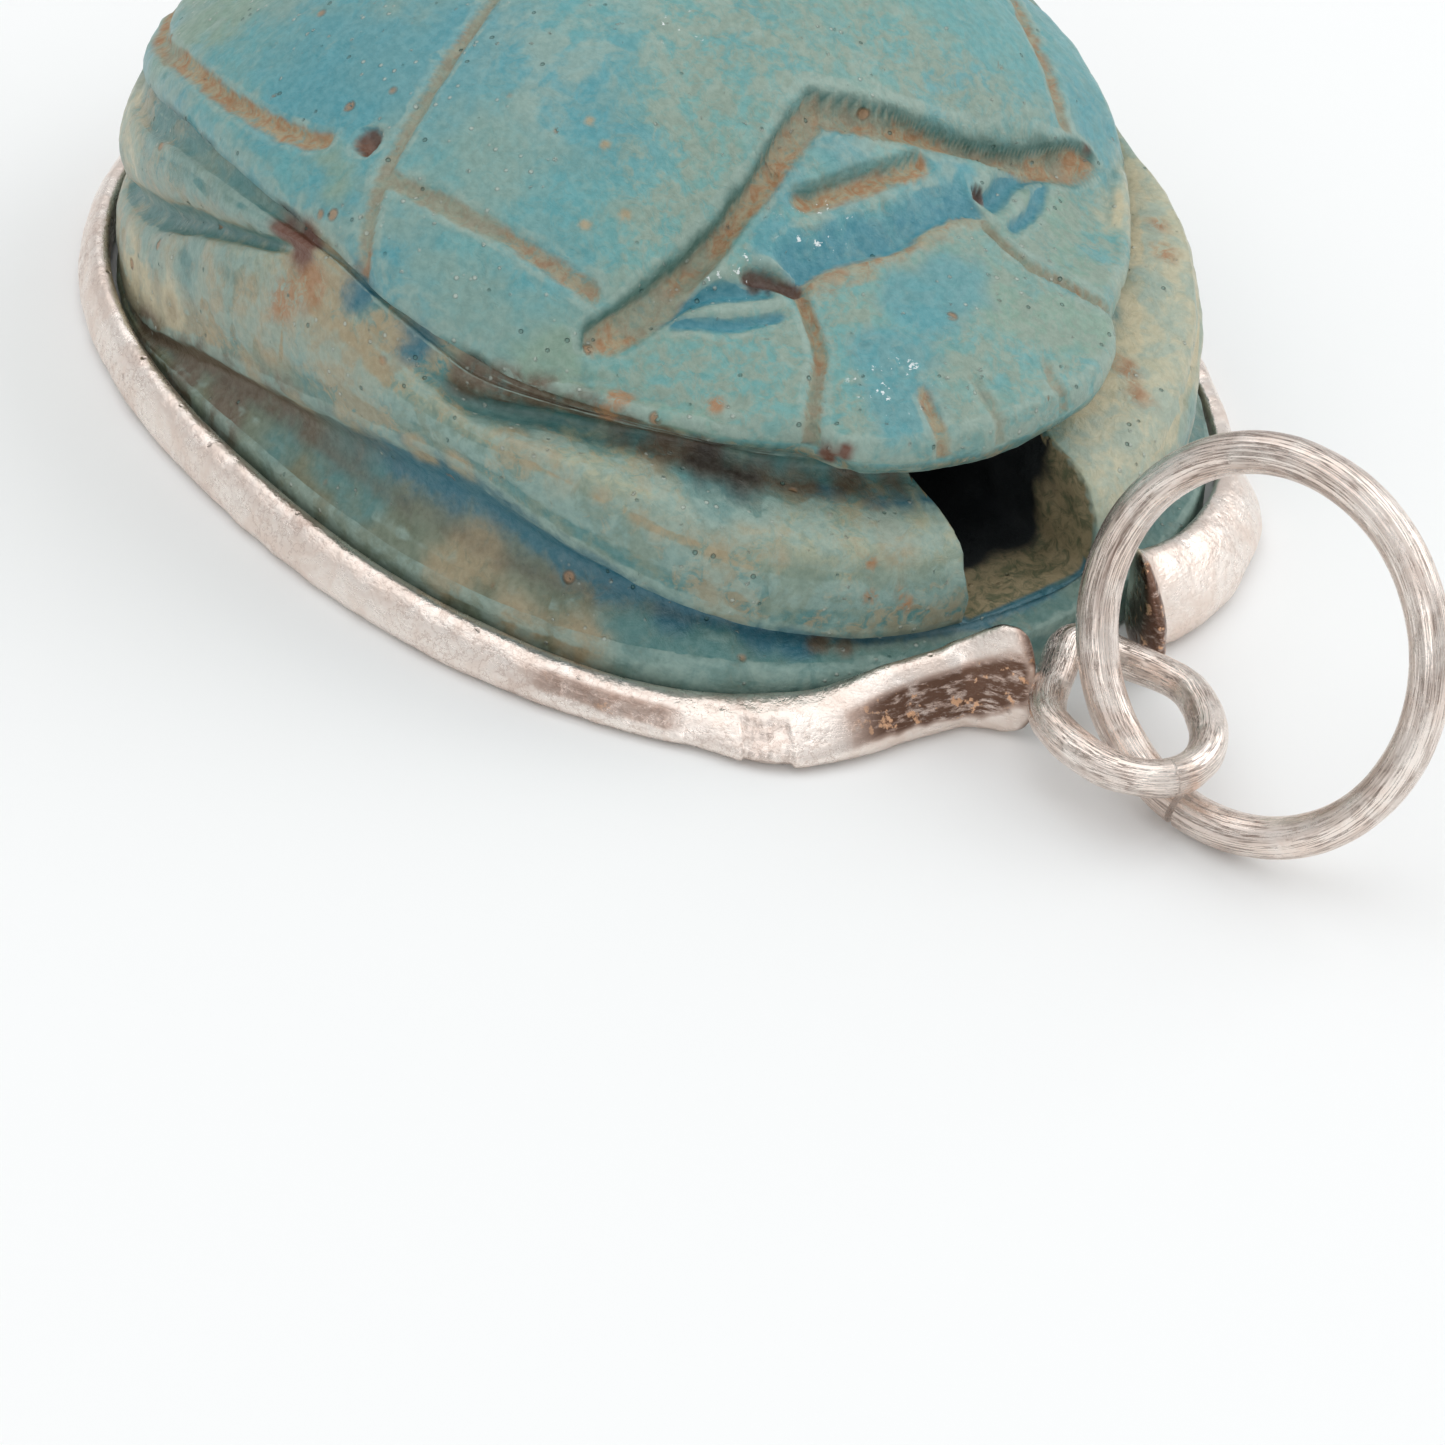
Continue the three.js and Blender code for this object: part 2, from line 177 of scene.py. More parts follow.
class Finish:
    def __init__(self, name, **constants):
        self.material = bpy.data.materials.new(name)
        self.material.use_nodes = True
        self.tree = self.material.node_tree
        self.shader = self.tree.nodes["Principled BSDF"]
        for socket, value in constants.items():
            self.shader.inputs[socket.replace("_", " ")].default_value = value
        self.place = self.make("ShaderNodeTexCoord", {}, {}, "Object")

    def make(self, kind, settings, inputs, out=0):
        node = self.tree.nodes.new(kind)
        for name, value in settings.items():
            setattr(node, name, value)
        for name, value in inputs.items():
            if isinstance(value, Value):
                self.tree.links.new(value.socket, node.inputs[name])
            else:
                node.inputs[name].default_value = value
        return Value(self, node.outputs[out])

    def attribute(self, name, out="Fac"):
        return self.make("ShaderNodeAttribute", {"attribute_name": name}, {}, out)

    def stretched(self, place, scale):
        return self.make("ShaderNodeMapping", {}, {"Vector": place, "Scale": scale}, "Vector")

    def noise(self, size, detail, rough, twist=0.0, place=None):
        return self.make("ShaderNodeTexNoise", {}, {"Vector": place or self.place, "Scale": 1 / (size * mm),
                         "Detail": detail, "Roughness": rough, "Distortion": twist})

    def cells(self, size):
        inputs = {"Vector": self.place, "Scale": 1 / (size * mm)}
        return self.make("ShaderNodeTexVoronoi", {}, inputs, "Distance")

    def blend(self, amount, first, second):
        first, second = (v if isinstance(v, Value) else (*v, 1.0) for v in (first, second))
        return self.make("ShaderNodeMix", {"data_type": "RGBA"}, {0: amount, 6: first, 7: second}, 2)

    def coats(self, colour, *layers):  # colours over one another, each laid on by its own amount
        for amount, over in layers:
            colour = self.blend(amount, colour, over)
        return colour

    def bump(self, height, depth):  # depth in millimetres
        return self.make("ShaderNodeBump", {}, {"Height": height, "Distance": depth * mm, "Strength": 1.0})

    def connect(self, **sockets):
        for name, value in sockets.items():
            self.tree.links.new(value.socket, self.shader.inputs[name.replace("_", " ")])


# Camera, floor and light

view = {"eye": (64.26, -49.73, 53.40), "lookAt": (10.266, -5.909, 0.0), "roll": 3.233, "focal": 119.8,
        "sensor": 36.0}


def placeCamera():
    eye = Vector(view["eye"])
    back = (eye - Vector(view["lookAt"])).normalized()
    right = Vector((0, 0, 1)).cross(back).normalized()
    up = back.cross(right)
    roll = math.radians(view["roll"])
    levelRight = math.cos(roll) * right + math.sin(roll) * up
    levelUp = math.cos(roll) * up - math.sin(roll) * right
    data = bpy.data.cameras.new("photoCamera")
    data.lens, data.sensor_width, data.clip_start = view["focal"], view["sensor"], 0.005
    camera = bpy.data.objects.new("photoCamera", data)
    turn = Matrix((levelRight, levelUp, back)).transposed().to_4x4()
    camera.matrix_world = Matrix.Translation(eye * mm) @ turn
    bpy.context.scene.collection.objects.link(camera)
    bpy.context.scene.camera = camera


studio = {"floorHalf": 400, "floorColour": (0.91, 0.92, 0.92, 1), "sky": (0.54, 0.78),
          "skyColour": (0.99, 0.995, 1.0, 1), "aim": (4, 0, 3),
          "lamps": [("keyLamp", (-90, -40, 300), 420, 0.32), ("sideLamp", (200, -230, 150), 130, 0.08),
                    ("backLamp", (90, 240, 190), 300, 0.34)]}  # name, place, size and power


def placeStudio():
    half = studio["floorHalf"] * mm
    corners = [(-half, -half, 0), (half, -half, 0), (half, half, 0), (-half, half, 0)]
    paper = Finish("palePaper", Roughness=0.9, Base_Color=studio["floorColour"])
    floor = newPiece("floor", corners, [(0, 1, 2, 3)], paper.material)
    for name, place, size, power in studio["lamps"]:
        data = bpy.data.lights.new(name, "AREA")
        data.shape, data.size, data.energy = "SQUARE", size * mm, power
        lamp = bpy.data.objects.new(name, data)
        lamp.location = Vector(place) * mm
        lamp.rotation_euler = (Vector(place) - Vector(studio["aim"])).to_track_quat("Z", "Y").to_euler()
        bpy.context.scene.collection.objects.link(lamp)
    world = bpy.data.worlds.new("softRoom")
    world.use_nodes = True
    links, nodes = world.node_tree.links, world.node_tree.nodes
    nodes["Background"].inputs["Color"].default_value = studio["skyColour"]
    direction, split = nodes.new("ShaderNodeTexCoord"), nodes.new("ShaderNodeSeparateXYZ")
    rise = nodes.new("ShaderNodeMapRange")  # darker towards the horizon, brighter overhead
    rise.inputs["To Min"].default_value, rise.inputs["To Max"].default_value = studio["sky"]
    links.new(direction.outputs["Generated"], split.inputs[0])
    links.new(split.outputs["Z"], rise.inputs["Value"])
    links.new(rise.outputs["Result"], nodes["Background"].inputs["Strength"])
    bpy.context.scene.world = world
    bpy.context.scene.view_settings.view_transform = "Standard"


placeCamera()
placeStudio()
print("camera and studio placed")


# The carved beetle. Angles are degrees round from the head (0) to the tail (180), k is a share of the base
# outline, z a height in millimetres.

beetle = {"halfLength": 12.25, "halfWidth": 9.15, "power": 2.35, "bevel": 0.12, "domeTop": 9.7,
          "domePower": 0.85, "rounding": 0.24, "columns": 600, "crowding": 0.26, "underRows": 22,
          "outerRows": 66, "innerRows": 36, "innerReach": 0.5, "innermost": 0.012, "easing": 1.12}
# Rows up the flank, and from corner to corner the first row, the last one and the number of fine rows between
flankSteps = [(0, 1, 4), (1, 2, 3), (2, 4, 12), (4, 7, 15), (7, 9, 11), (9, 11, 10)]
flank = [
    {"z": [(0, 0.12)], "k": [(0, 1)]},
    {"z": [(0, 0.95), (30, 1.2), (90, 1.2), (108, 1.05), (130, 0.45), (180, 0.27)], "k": [(0, 1)]},
    {"z": [(0, 1.02), (30, 1.29), (90, 1.29), (108, 1.14), (130, 0.5), (180, 0.31)],
     "k": [(0, 0.985), (100, 0.985), (130, 0.999)]},
    {"z": [(0, 1.15), (18, 1.4), (32, 1.8), (49, 2.25), (58, 2.45), (75, 2.2), (96, 1.85), (108, 1.5),
           (130, 0.62), (180, 0.38)], "k": [(0, 0.955), (40, 0.925), (75, 0.92), (100, 0.94), (130, 0.992)]},
    {"z": [(0, 1.3), (18, 1.55), (32, 2.15), (49, 3.16), (58, 3.7), (75, 3.26), (96, 2.46), (108, 2.0),
           (128, 0.8), (150, 0.5), (180, 0.45)], "k": [(0, 0.965), (90, 0.965), (130, 0.995)]},
    {"z": [(0, 2.1), (18, 2.3), (32, 2.95), (49, 3.8), (58, 4.1), (75, 4.1), (96, 3.6), (112, 2.9),
           (144, 1.0), (180, 0.8)], "k": [(0, 0.97), (60, 0.975), (112, 0.985), (144, 1.0)]},
    {"z": [(0, 2.9), (18, 3.27), (28, 3.52), (37, 4.06), (47, 4.48), (57, 4.55), (70, 4.95), (85, 5.4),
           (112, 3.9), (128, 2.5), (144, 1.5), (180, 1.2)],
     "k": [(0, 0.94), (47, 0.948), (66, 0.952), (86, 0.945), (112, 0.965), (144, 0.997)]},
    {"z": [(0, 3.55), (12, 3.75), (22, 4.04), (32, 4.4), (43, 4.55), (57, 4.6), (70, 5.3), (85, 5.78),
           (97, 5.2), (112, 4.3), (128, 3.05), (144, 2.1), (180, 1.7)],
     "k": [(0, 0.8), (32, 0.79), (48, 0.83), (60, 0.905), (72, 0.935), (86, 0.93), (112, 0.925),
           (144, 0.965)]},
    {"z": [(0, 3.95), (22, 4.3), (43, 4.72), (57, 5.0), (70, 5.5), (85, 5.95), (112, 5.05), (144, 3.1),
           (180, 2.6)],
     "k": [(0, 0.86), (20, 0.79), (32, 0.8), (48, 0.85), (60, 0.905), (86, 0.93), (112, 0.955), (144, 0.99)]},
    {"z": [(0, 4.15), (25, 4.45), (44, 4.85), (57, 5.15), (70, 5.65), (85, 6.0), (112, 5.6), (144, 4.0),
           (180, 3.4)],
     "k": [(0, 0.89), (17, 0.858), (22, 0.81), (32, 0.81), (48, 0.855), (60, 0.9), (86, 0.915), (112, 0.935),
           (144, 0.965)]},
    {"z": [(0, 4.35), (25, 4.6), (44, 4.95), (57, 5.3), (70, 5.78), (82, 6.08), (104, 6.05), (119, 5.75),
           (144, 4.6), (180, 3.9)],
     "k": [(0, 0.9), (8, 0.895), (17, 0.868), (22, 0.82), (32, 0.82), (44, 0.84), (57, 0.875), (70, 0.892),
           (119, 0.9), (144, 0.925), (180, 0.93)]},
    {"z": [(0, 4.8), (25, 5.05), (44, 5.35), (57, 5.65), (70, 6.1), (82, 6.4), (104, 6.38), (119, 6.1),
           (144, 5.05), (180, 4.35)],
     "k": [(0, 0.905), (8, 0.9), (17, 0.873), (22, 0.825), (32, 0.825), (44, 0.848), (57, 0.885), (70, 0.905),
           (119, 0.915), (144, 0.94), (180, 0.945)]},
]
vee = {"apex": 4.72, "sweep": 1.32, "span": 5.3, "bend": 0.74, "blend": (-0.2, 0.5),
       "step": 0.3, "stepWidth": 0.8, "stepRun": (-0.3, 0.08), "stepEnd": (6.2, 5.2)}
headTop = {"slope": [(0, 9.3), (4.75, 8.25), (6, 7.35), (7.26, 6.55), (9, 5.95), (11.2, 5.0), (12.3, 4.6)],
           "fallRate": 0.055, "fallPower": 1.9}
shoulder = {"reach": [(0, 7.9), (28, 7.8), (43, 8.75), (60, 9.2)], "level": 5.4, "turns": (50, 75)}

# Carved lines in plan. "lean" moves the deepest part towards the left of the line's run, "ends" is the share
# over which it fades out, "tan" the amount of deposit, and "fill" says what lies in the cut: "tan" deposit, a
# blue "pool", a pool with a tan "rim", "dark" dirt or "none".
bothSides = {
    "vee": {"half": 0.24, "depth": 0.27, "lean": 0.45, "ends": 0.0, "fill": "tan", "tan": 1.0,
     "points": [(4.74, 0), (5.04, 0.75), (5.44, 1.9), (5.77, 3.2), (5.99, 4.4), (6.07, 5.3), (6.0, 5.9)]},
    "wingRoot": {"half": 0.16, "depth": 0.14, "lean": 0.0, "ends": 0.05, "fill": "tan", "tan": 0.8,
     "points": [(-1.6, 0), (-1.1, 2.2), (-0.4, 4), (0.3, 5.4), (1.1, 7), (1.6, 7.8), (2.3, 8.4)]},
    "wingSide": {"half": 0.2, "depth": 0.15, "lean": 0.2, "ends": 0.05, "fill": "tan", "tan": 1.0,
     "points": [(-0.4, 7.25), (-1.2, 7.55), (-2.7, 7.65), (-5.1, 7.3), (-8, 6.4), (-10.2, 4.6)]},
    "shoulderSide": {"half": 0.18, "depth": 0.13, "lean": 0.2, "ends": 0.06, "fill": "tan", "tan": 0.85,
     "points": [(0.95, 7.3), (2.65, 6.8), (3.7, 6.4), (4.7, 6), (5.7, 5.45)]},
    "cheek": {"half": 0.27, "depth": 0.26, "lean": 0.0, "ends": 0.08, "fill": "pool", "tan": 0.0,
     "points": [(5.95, 4.9), (6.12, 4.2), (6.38, 3.45), (6.62, 3.0), (6.85, 2.4)]},
    "cheekLens": {"half": 0.17, "depth": 0.14, "lean": 0.0, "ends": 0.25, "fill": "pool", "tan": 0.0,
     "points": [(6.16, 4.75), (6.5, 4.2), (6.98, 3.6), (7.3, 2.9), (7.45, 2.5)]},
    "cheekRidge": {"half": 0.14, "depth": -0.06, "lean": 0.0, "ends": 0.2, "fill": "none", "tan": 0.0,
     "points": [(6.2, 5.3), (6.72, 4.5), (7.2, 3.85), (7.55, 3.2), (7.7, 2.7)]},
    "clypeusSide": {"half": 0.16, "depth": 0.2, "lean": 0.0, "ends": 0.05, "fill": "tan", "tan": 1.0,
     "points": [(7.15, 2.15), (7.75, 2.32), (8.36, 2.57), (8.93, 3.1), (9.6, 3.75)]},
}
oneSide = {
    "wingSeam": {"half": 0.18, "depth": 0.14, "lean": 0.0, "ends": 0.03, "fill": "tan", "tan": 0.8,
     "points": [(-1.5, 0), (-5, 0.05), (-8.5, -0.05), (-11.2, 0)]},
    "clypeusBack": {"half": 0.5, "depth": 0.24, "lean": 0.6, "ends": 0.06, "fill": "rim", "tan": 0.85,
     "points": [(6.65, 2.5), (6.6, 1.5), (6.75, 0.7), (6.8, 0), (6.75, -0.7), (6.65, -1.5), (6.75, -2.3)]},
    "eyeCut": {"half": 0.24, "depth": 0.4, "lean": 0.0, "ends": 0.3, "fill": "dark", "tan": 0.0,
     "points": [(6.3, -3.1), (6.5, -2.75), (6.75, -2.4), (7.1, -2.15), (7.35, -2.05)]},
    "brow": {"half": 0.27, "depth": 0.28, "lean": 0.45, "ends": 0.14, "fill": "tan", "tan": 1.0,
     "points": [(5.85, -1.5), (5.98, -0.57), (6.02, 0.34), (5.98, 1.22), (5.94, 1.95)]},
    "rightNotch": {"half": 0.16, "depth": 0.13, "lean": 0.0, "ends": 0.2, "fill": "tan", "tan": 0.9,
     "points": [(9.8, -1.42), (10.25, -1.52), (10.9, -1.66), (11.3, -1.7)]},
    "middleNotch": {"half": 0.14, "depth": 0.08, "lean": 0.0, "ends": 0.25, "fill": "tan", "tan": 0.25,
     "points": [(9.9, -0.4), (10.5, -0.43), (11.1, -0.46), (11.5, -0.5)]},
    "leftNotch": {"half": 0.15, "depth": 0.09, "lean": 0.0, "ends": 0.25, "fill": "tan", "tan": 0.35,
     "points": [(10.0, 1.32), (10.6, 1.1), (11.0, 1.15), (11.4, 1.2)]},
}
uneven = {"wobble": (0.022, 0.9, 3), "width": (0.13, 0.4, 7), "fraying": (0.35, 0.3, 9),
          "depth": (0.15, 0.9, 11), "drilling": (0.25, 0.3, 31), "crease": (0.1, 0.8, 97),
          "swell": (0.07, 3.6, 41), "waves": (0.03, 1.1, 47), "grain": (0.012, 0.35, 49),
          "filing": (0.014, 0.5, 53)}  # amount, size and seed
cutKinds = ("carved", "pool", "wall", "pits")  # what a cut leaves for the glaze to colour; 'wall' is painted shade on the steep wall of a cut
drilled = [(6.62, 2.55, 0.2, 0.3), (0.2, -6.95, 0.3, 0.24), (0.32, -7.0, 0.2, 0.3),
           (0.15, 7.0, 0.4, 0.32)]  # x, y, radius and depth
creases = [  # along the flank: the row, the half width in rows, the depth and the turns of its ends
    (7.0, 0.5, 0.16, (88, 96, 150, 165)),
    (4.0, 0.4, -0.05, (20, 30, 110, 130)),
    (9.3, 0.35, 0.12, (24, 32, 150, 170)),
    (6.1, 0.3, -0.05, (14, 20, 60, 75)),
    (5.6, 0.22, 0.05, (14, 20, 60, 75)),
    (6.95, 0.4, 0.14, (14, 20, 54, 66)),
    (3.2, 0.35, 0.08, (30, 40, 90, 110)),
]


def unevenness(points, kind):
    amount, size, seed = uneven[kind]
    return amount * lumps(points, size, seed)


def baseRadius(angle):
    across = np.abs(np.cos(angle) / beetle["halfLength"]) ** beetle["power"]
    beside = np.abs(np.sin(angle) / beetle["halfWidth"]) ** beetle["power"]
    return (across + beside) ** (-1 / beetle["power"])


def fromHead(angle):
    return np.degrees(np.abs(np.arctan2(np.sin(angle), np.cos(angle))))


def backHeight(x, y):
    angle = np.arctan2(y, x)
    turn = fromHead(angle)
    rim = flank[-1]
    front = 1 - smooth(*shoulder["turns"], turn)
    edge = mix(along(rim["k"], turn) * baseRadius(angle), along(shoulder["reach"], turn), front)
    level = mix(along(rim["z"], turn), shoulder["level"], front)
    share = np.minimum(1, np.hypot(x, y) / edge)
    dome = level + (beetle["domeTop"] - level) * (1 - share**2) ** beetle["domePower"]
    head = along(headTop["slope"], x) - headTop["fallRate"] * np.abs(y) ** headTop["fallPower"]
    head = np.maximum(head, along(rim["z"], turn))
    ahead = x - (vee["apex"] + vee["sweep"] * (np.abs(y) / vee["span"]) ** vee["bend"])
    step = vee["step"] * smooth(*vee["stepRun"], ahead) * np.exp(-np.maximum(ahead, 0) / vee["stepWidth"])
    inside = np.maximum(0, along(rim["k"], turn) * baseRadius(angle) - np.hypot(x, y))
    bend = beetle["rounding"]
    rounded = bend - np.sqrt(np.maximum(0, bend**2 - np.maximum(0, bend - inside) ** 2))
    return mix(dome, head, smooth(*vee["blend"], ahead)) - step * smooth(*vee["stepEnd"], np.abs(y)) - rounded


def slanted(x, y, line, lean, half):  # depth share across a cut, the place across it, and the share along it
    best = np.full(len(x), np.inf)
    depth, across, share = np.zeros(len(x)), np.zeros(len(x)), np.zeros(len(x))
    for i, (a, b) in enumerate(zip(line, line[1:])):
        dx, dy, t = fromStretch(x, y, a, b)
        gap = np.hypot(dx, dy)
        nearer = gap < best
        left = np.sign((b - a)[0] * dy - (b - a)[1] * dx)
        offset = left * gap / half - lean
        wall = np.where(offset > 0, offset / (1 - lean), -offset / (1 + lean))
        best[nearer] = gap[nearer]
        depth[nearer] = np.clip(1 - wall, 0, 1)[nearer]
        across[nearer] = offset[nearer]
        share[nearer] = ((i + t) / (len(line) - 1))[nearer]
    return depth, across, share


def carvedDepth(x, y):  # depth of the carved lines over a place in plan, and what lies in them
    spots = np.stack([x, y, 0 * x], 1)
    depth, marks = np.zeros(len(x)), {kind: np.zeros(len(x)) for kind in cutKinds}
    wobble = unevenness(spots, "wobble")
    rough = 1 + unevenness(spots, "width")
    frayed = 1 + unevenness(spots, "fraying")
    lines = [(line, side) for line in bothSides.values() for side in (1, -1)]
    lines += [(line, 1) for line in oneSide.values()]
    for line, side in lines:
        path = catmull(line["points"])
        cut, across, share = slanted(x + wobble, y * side - wobble, path, line["lean"], line["half"] * rough)
        fade = line["ends"]
        ends = smooth(0, fade, share) * smooth(1, 1 - fade, share) if fade else 1.0
        cut = cut**0.8 * ends
        move = line["depth"] * cut * (1 + unevenness(spots, "depth"))
        depth = np.where(np.abs(move) > np.abs(depth), move, depth)
        low = smooth(0.12, 0.5, cut * frayed)
        # steep: painted shade, dark green on the steep wall of a leaned cut
        steep = smooth(0.02, 0.14, across) * smooth(1.0, 0.45, across) * (line["lean"] > 0.3) * ends
        lit = smooth(0.3, 0.02, across * (line["lean"] > 0.3))
        edge = smooth(0.1, 0.26, across * frayed) * smooth(0.9, 0.5, across * frayed) * ends
        pool = smooth(0.1, 0.6, cut)
        left = {"dark": {"pits": smooth(0.25, 0.7, cut * frayed)}, "pool": {"pool": pool}, "none": {},
                "tan": {"carved": line["tan"] * low * lit, "wall": steep},
                "rim": {"pool": pool, "carved": line["tan"] * edge}}
        for kind, amount in left[line["fill"]].items():
            marks[kind] = np.maximum(marks[kind], amount)
    for px, py, radius, deep in drilled:
        reach = np.hypot(x - px, y - py) * (1 + unevenness(spots, "drilling"))
        cut = np.clip(1 - (reach / radius) ** 2, 0, 1)
        depth = np.maximum(depth, deep * cut)
        marks["pits"] = np.maximum(marks["pits"], smooth(0.05, 0.5, cut))
    return depth, marks


def flankProfile(turn):  # k and z of every fine row up the flank, with corners at the shared rows
    ks = np.stack([along(row["k"], turn) for row in flank])
    zs = np.stack([along(row["z"], turn) for row in flank])
    zs[-1] -= beetle["rounding"]
    outK, outZ, fine = [ks[0]], [zs[0]], [0.0]
    for first, last, count in flankSteps:
        rows = np.arange(first, last + 1)
        steps = np.linspace(first, last, count + 1)[1:]
        for out, coarse in ((outK, ks), (outZ, zs)):
            columns = [along(list(zip(rows, column)), steps, False) for column in coarse[first:last + 1].T]
            out += list(np.stack(columns, 1))
        fine += list(steps)
    return np.array(outK), np.array(outZ), np.array(fine)


def ringAngles(count):  # closer together at the head
    angle = 2 * np.pi * np.arange(count) / count
    return angle - beetle["crowding"] * np.sin(angle)


def ringFaces(counts):  # quads between rings, and threes where a ring has half as many points as the next
    starts = np.concatenate([[0], np.cumsum(counts)[:-1]])
    quads, threes = [], []
    for low, n, high, m in zip(starts, counts, starts[1:], counts[1:]):
        if n == m:
            j = np.arange(n)
            k = (j + 1) % n
            quads.append(np.stack([low + j, low + k, high + k, high + j], 1))
        else:
            j = np.arange(min(n, m))
            k = (j + 1) % min(n, m)
            a, b, c = 2 * j, 2 * j + 1, (2 * j + 2) % max(n, m)
            if n > m:
                corners = [(low + a, low + b, high + j), (low + b, low + c, high + k),
                           (low + b, high + k, high + j)]
            else:
                corners = [(high + b, high + a, low + j), (high + c, high + b, low + k),
                           (high + b, low + j, low + k)]
            threes += [np.stack(three, 1) for three in corners]
    return np.concatenate(quads), np.concatenate(threes)


def beetleSurface():  # points in rings from the middle of the underside to the middle of the back
    full, half = ringAngles(beetle["columns"]), ringAngles(beetle["columns"])[::2]
    rings, places = [], []
    edge = 1 - beetle["bevel"] / beetle["halfWidth"]
    for share in np.linspace(0.03, edge - 0.03, beetle["underRows"]):
        rings.append((half, share * baseRadius(half), 0 * half))
        places.append(-1.0)
    rings.append((full, edge * baseRadius(full), 0 * full))
    places.append(-0.5)
    k, z, fine = flankProfile(fromHead(full))
    for i in range(len(fine)):
        rings.append((full, k[i] * baseRadius(full), z[i]))
        places.append(fine[i])
    inner = beetle["innerReach"]
    for angles, first, last, count, easing in ((full, 1, inner, beetle["outerRows"], beetle["easing"]),
                                               (half, inner, beetle["innermost"], beetle["innerRows"], 1)):
        rim = along(flank[-1]["k"], fromHead(angles)) * baseRadius(angles)
        for share in np.linspace(0, 1, count + 1)[1:]:
            reach = rim * mix(first, last, share**easing)
            rings.append((angles, reach, backHeight(reach * np.cos(angles), reach * np.sin(angles))))
            places.append(len(flank) - 1 + 0.5 * (share if first == 1 else 1))
    points = np.concatenate([np.stack([r * np.cos(a), r * np.sin(a), h], 1) for a, r, h in rings])
    counts = [len(a) for a, _, _ in rings]
    turn = np.concatenate([fromHead(a) for a, _, _ in rings])
    return points, counts, np.repeat(places, counts), turn


def outward(points, threes):  # normals at the points of a mesh of triangles
    a, b, c = (points[threes[:, i]] for i in range(3))
    face = np.cross(b - a, c - a)
    total = np.zeros_like(points)
    for i in range(3):
        for axis in range(3):
            total[:, axis] += np.bincount(threes[:, i], face[:, axis], len(points))
    return total / (np.linalg.norm(total, axis=1)[:, None] + 1e-12)


def hollowness(points, threes, normal, rounds):  # how far a point lies below its smoothed surroundings
    a = np.concatenate([threes[:, 0], threes[:, 1], threes[:, 2]])
    b = np.concatenate([threes[:, 1], threes[:, 2], threes[:, 0]])
    count = np.bincount(a, minlength=len(points)) + np.bincount(b, minlength=len(points))
    soft = points.copy()
    for _ in range(rounds):
        totals = [np.bincount(a, p[b], len(points)) + np.bincount(b, p[a], len(points)) for p in soft.T]
        soft = np.stack(totals, 1) / count[:, None]
    return ((soft - points) * normal).sum(1)


underLines = {"border": 0.86, "half": 0.4, "depth": 0.16, "rows": (-3.3, 0.0, 3.3), "columns": 7,
              "pitch": 2.5, "length": (0.7, 1.1), "lean": 0.5, "reach": 8.6, "narrowing": 0.35, "seed": 12}


def underCarving(x, y):  # an oval border and rows of shallow strokes that spell nothing
    angle = np.arctan2(y, x)
    gap = np.abs(np.hypot(x, y) - underLines["border"] * baseRadius(angle))
    cut = np.clip(1 - (gap / underLines["half"]) ** 2, 0, 1)
    random = np.random.default_rng(underLines["seed"])
    for row in underLines["rows"]:
        for i in range(underLines["columns"]):
            middle = np.array([(i - (underLines["columns"] - 1) / 2) * underLines["pitch"], row])
            lean = random.uniform(-underLines["lean"], underLines["lean"])
            half = random.uniform(*underLines["length"]) * np.array([math.sin(lean), math.cos(lean)])
            if abs(middle[0]) < underLines["reach"] - underLines["narrowing"] * abs(row):
                dx, dy, _ = fromStretch(x, y, middle - half, middle + half)
                cut = np.maximum(cut, np.clip(1 - (np.hypot(dx, dy) / underLines["half"]) ** 2, 0, 1))
    return underLines["depth"] * cut, cut
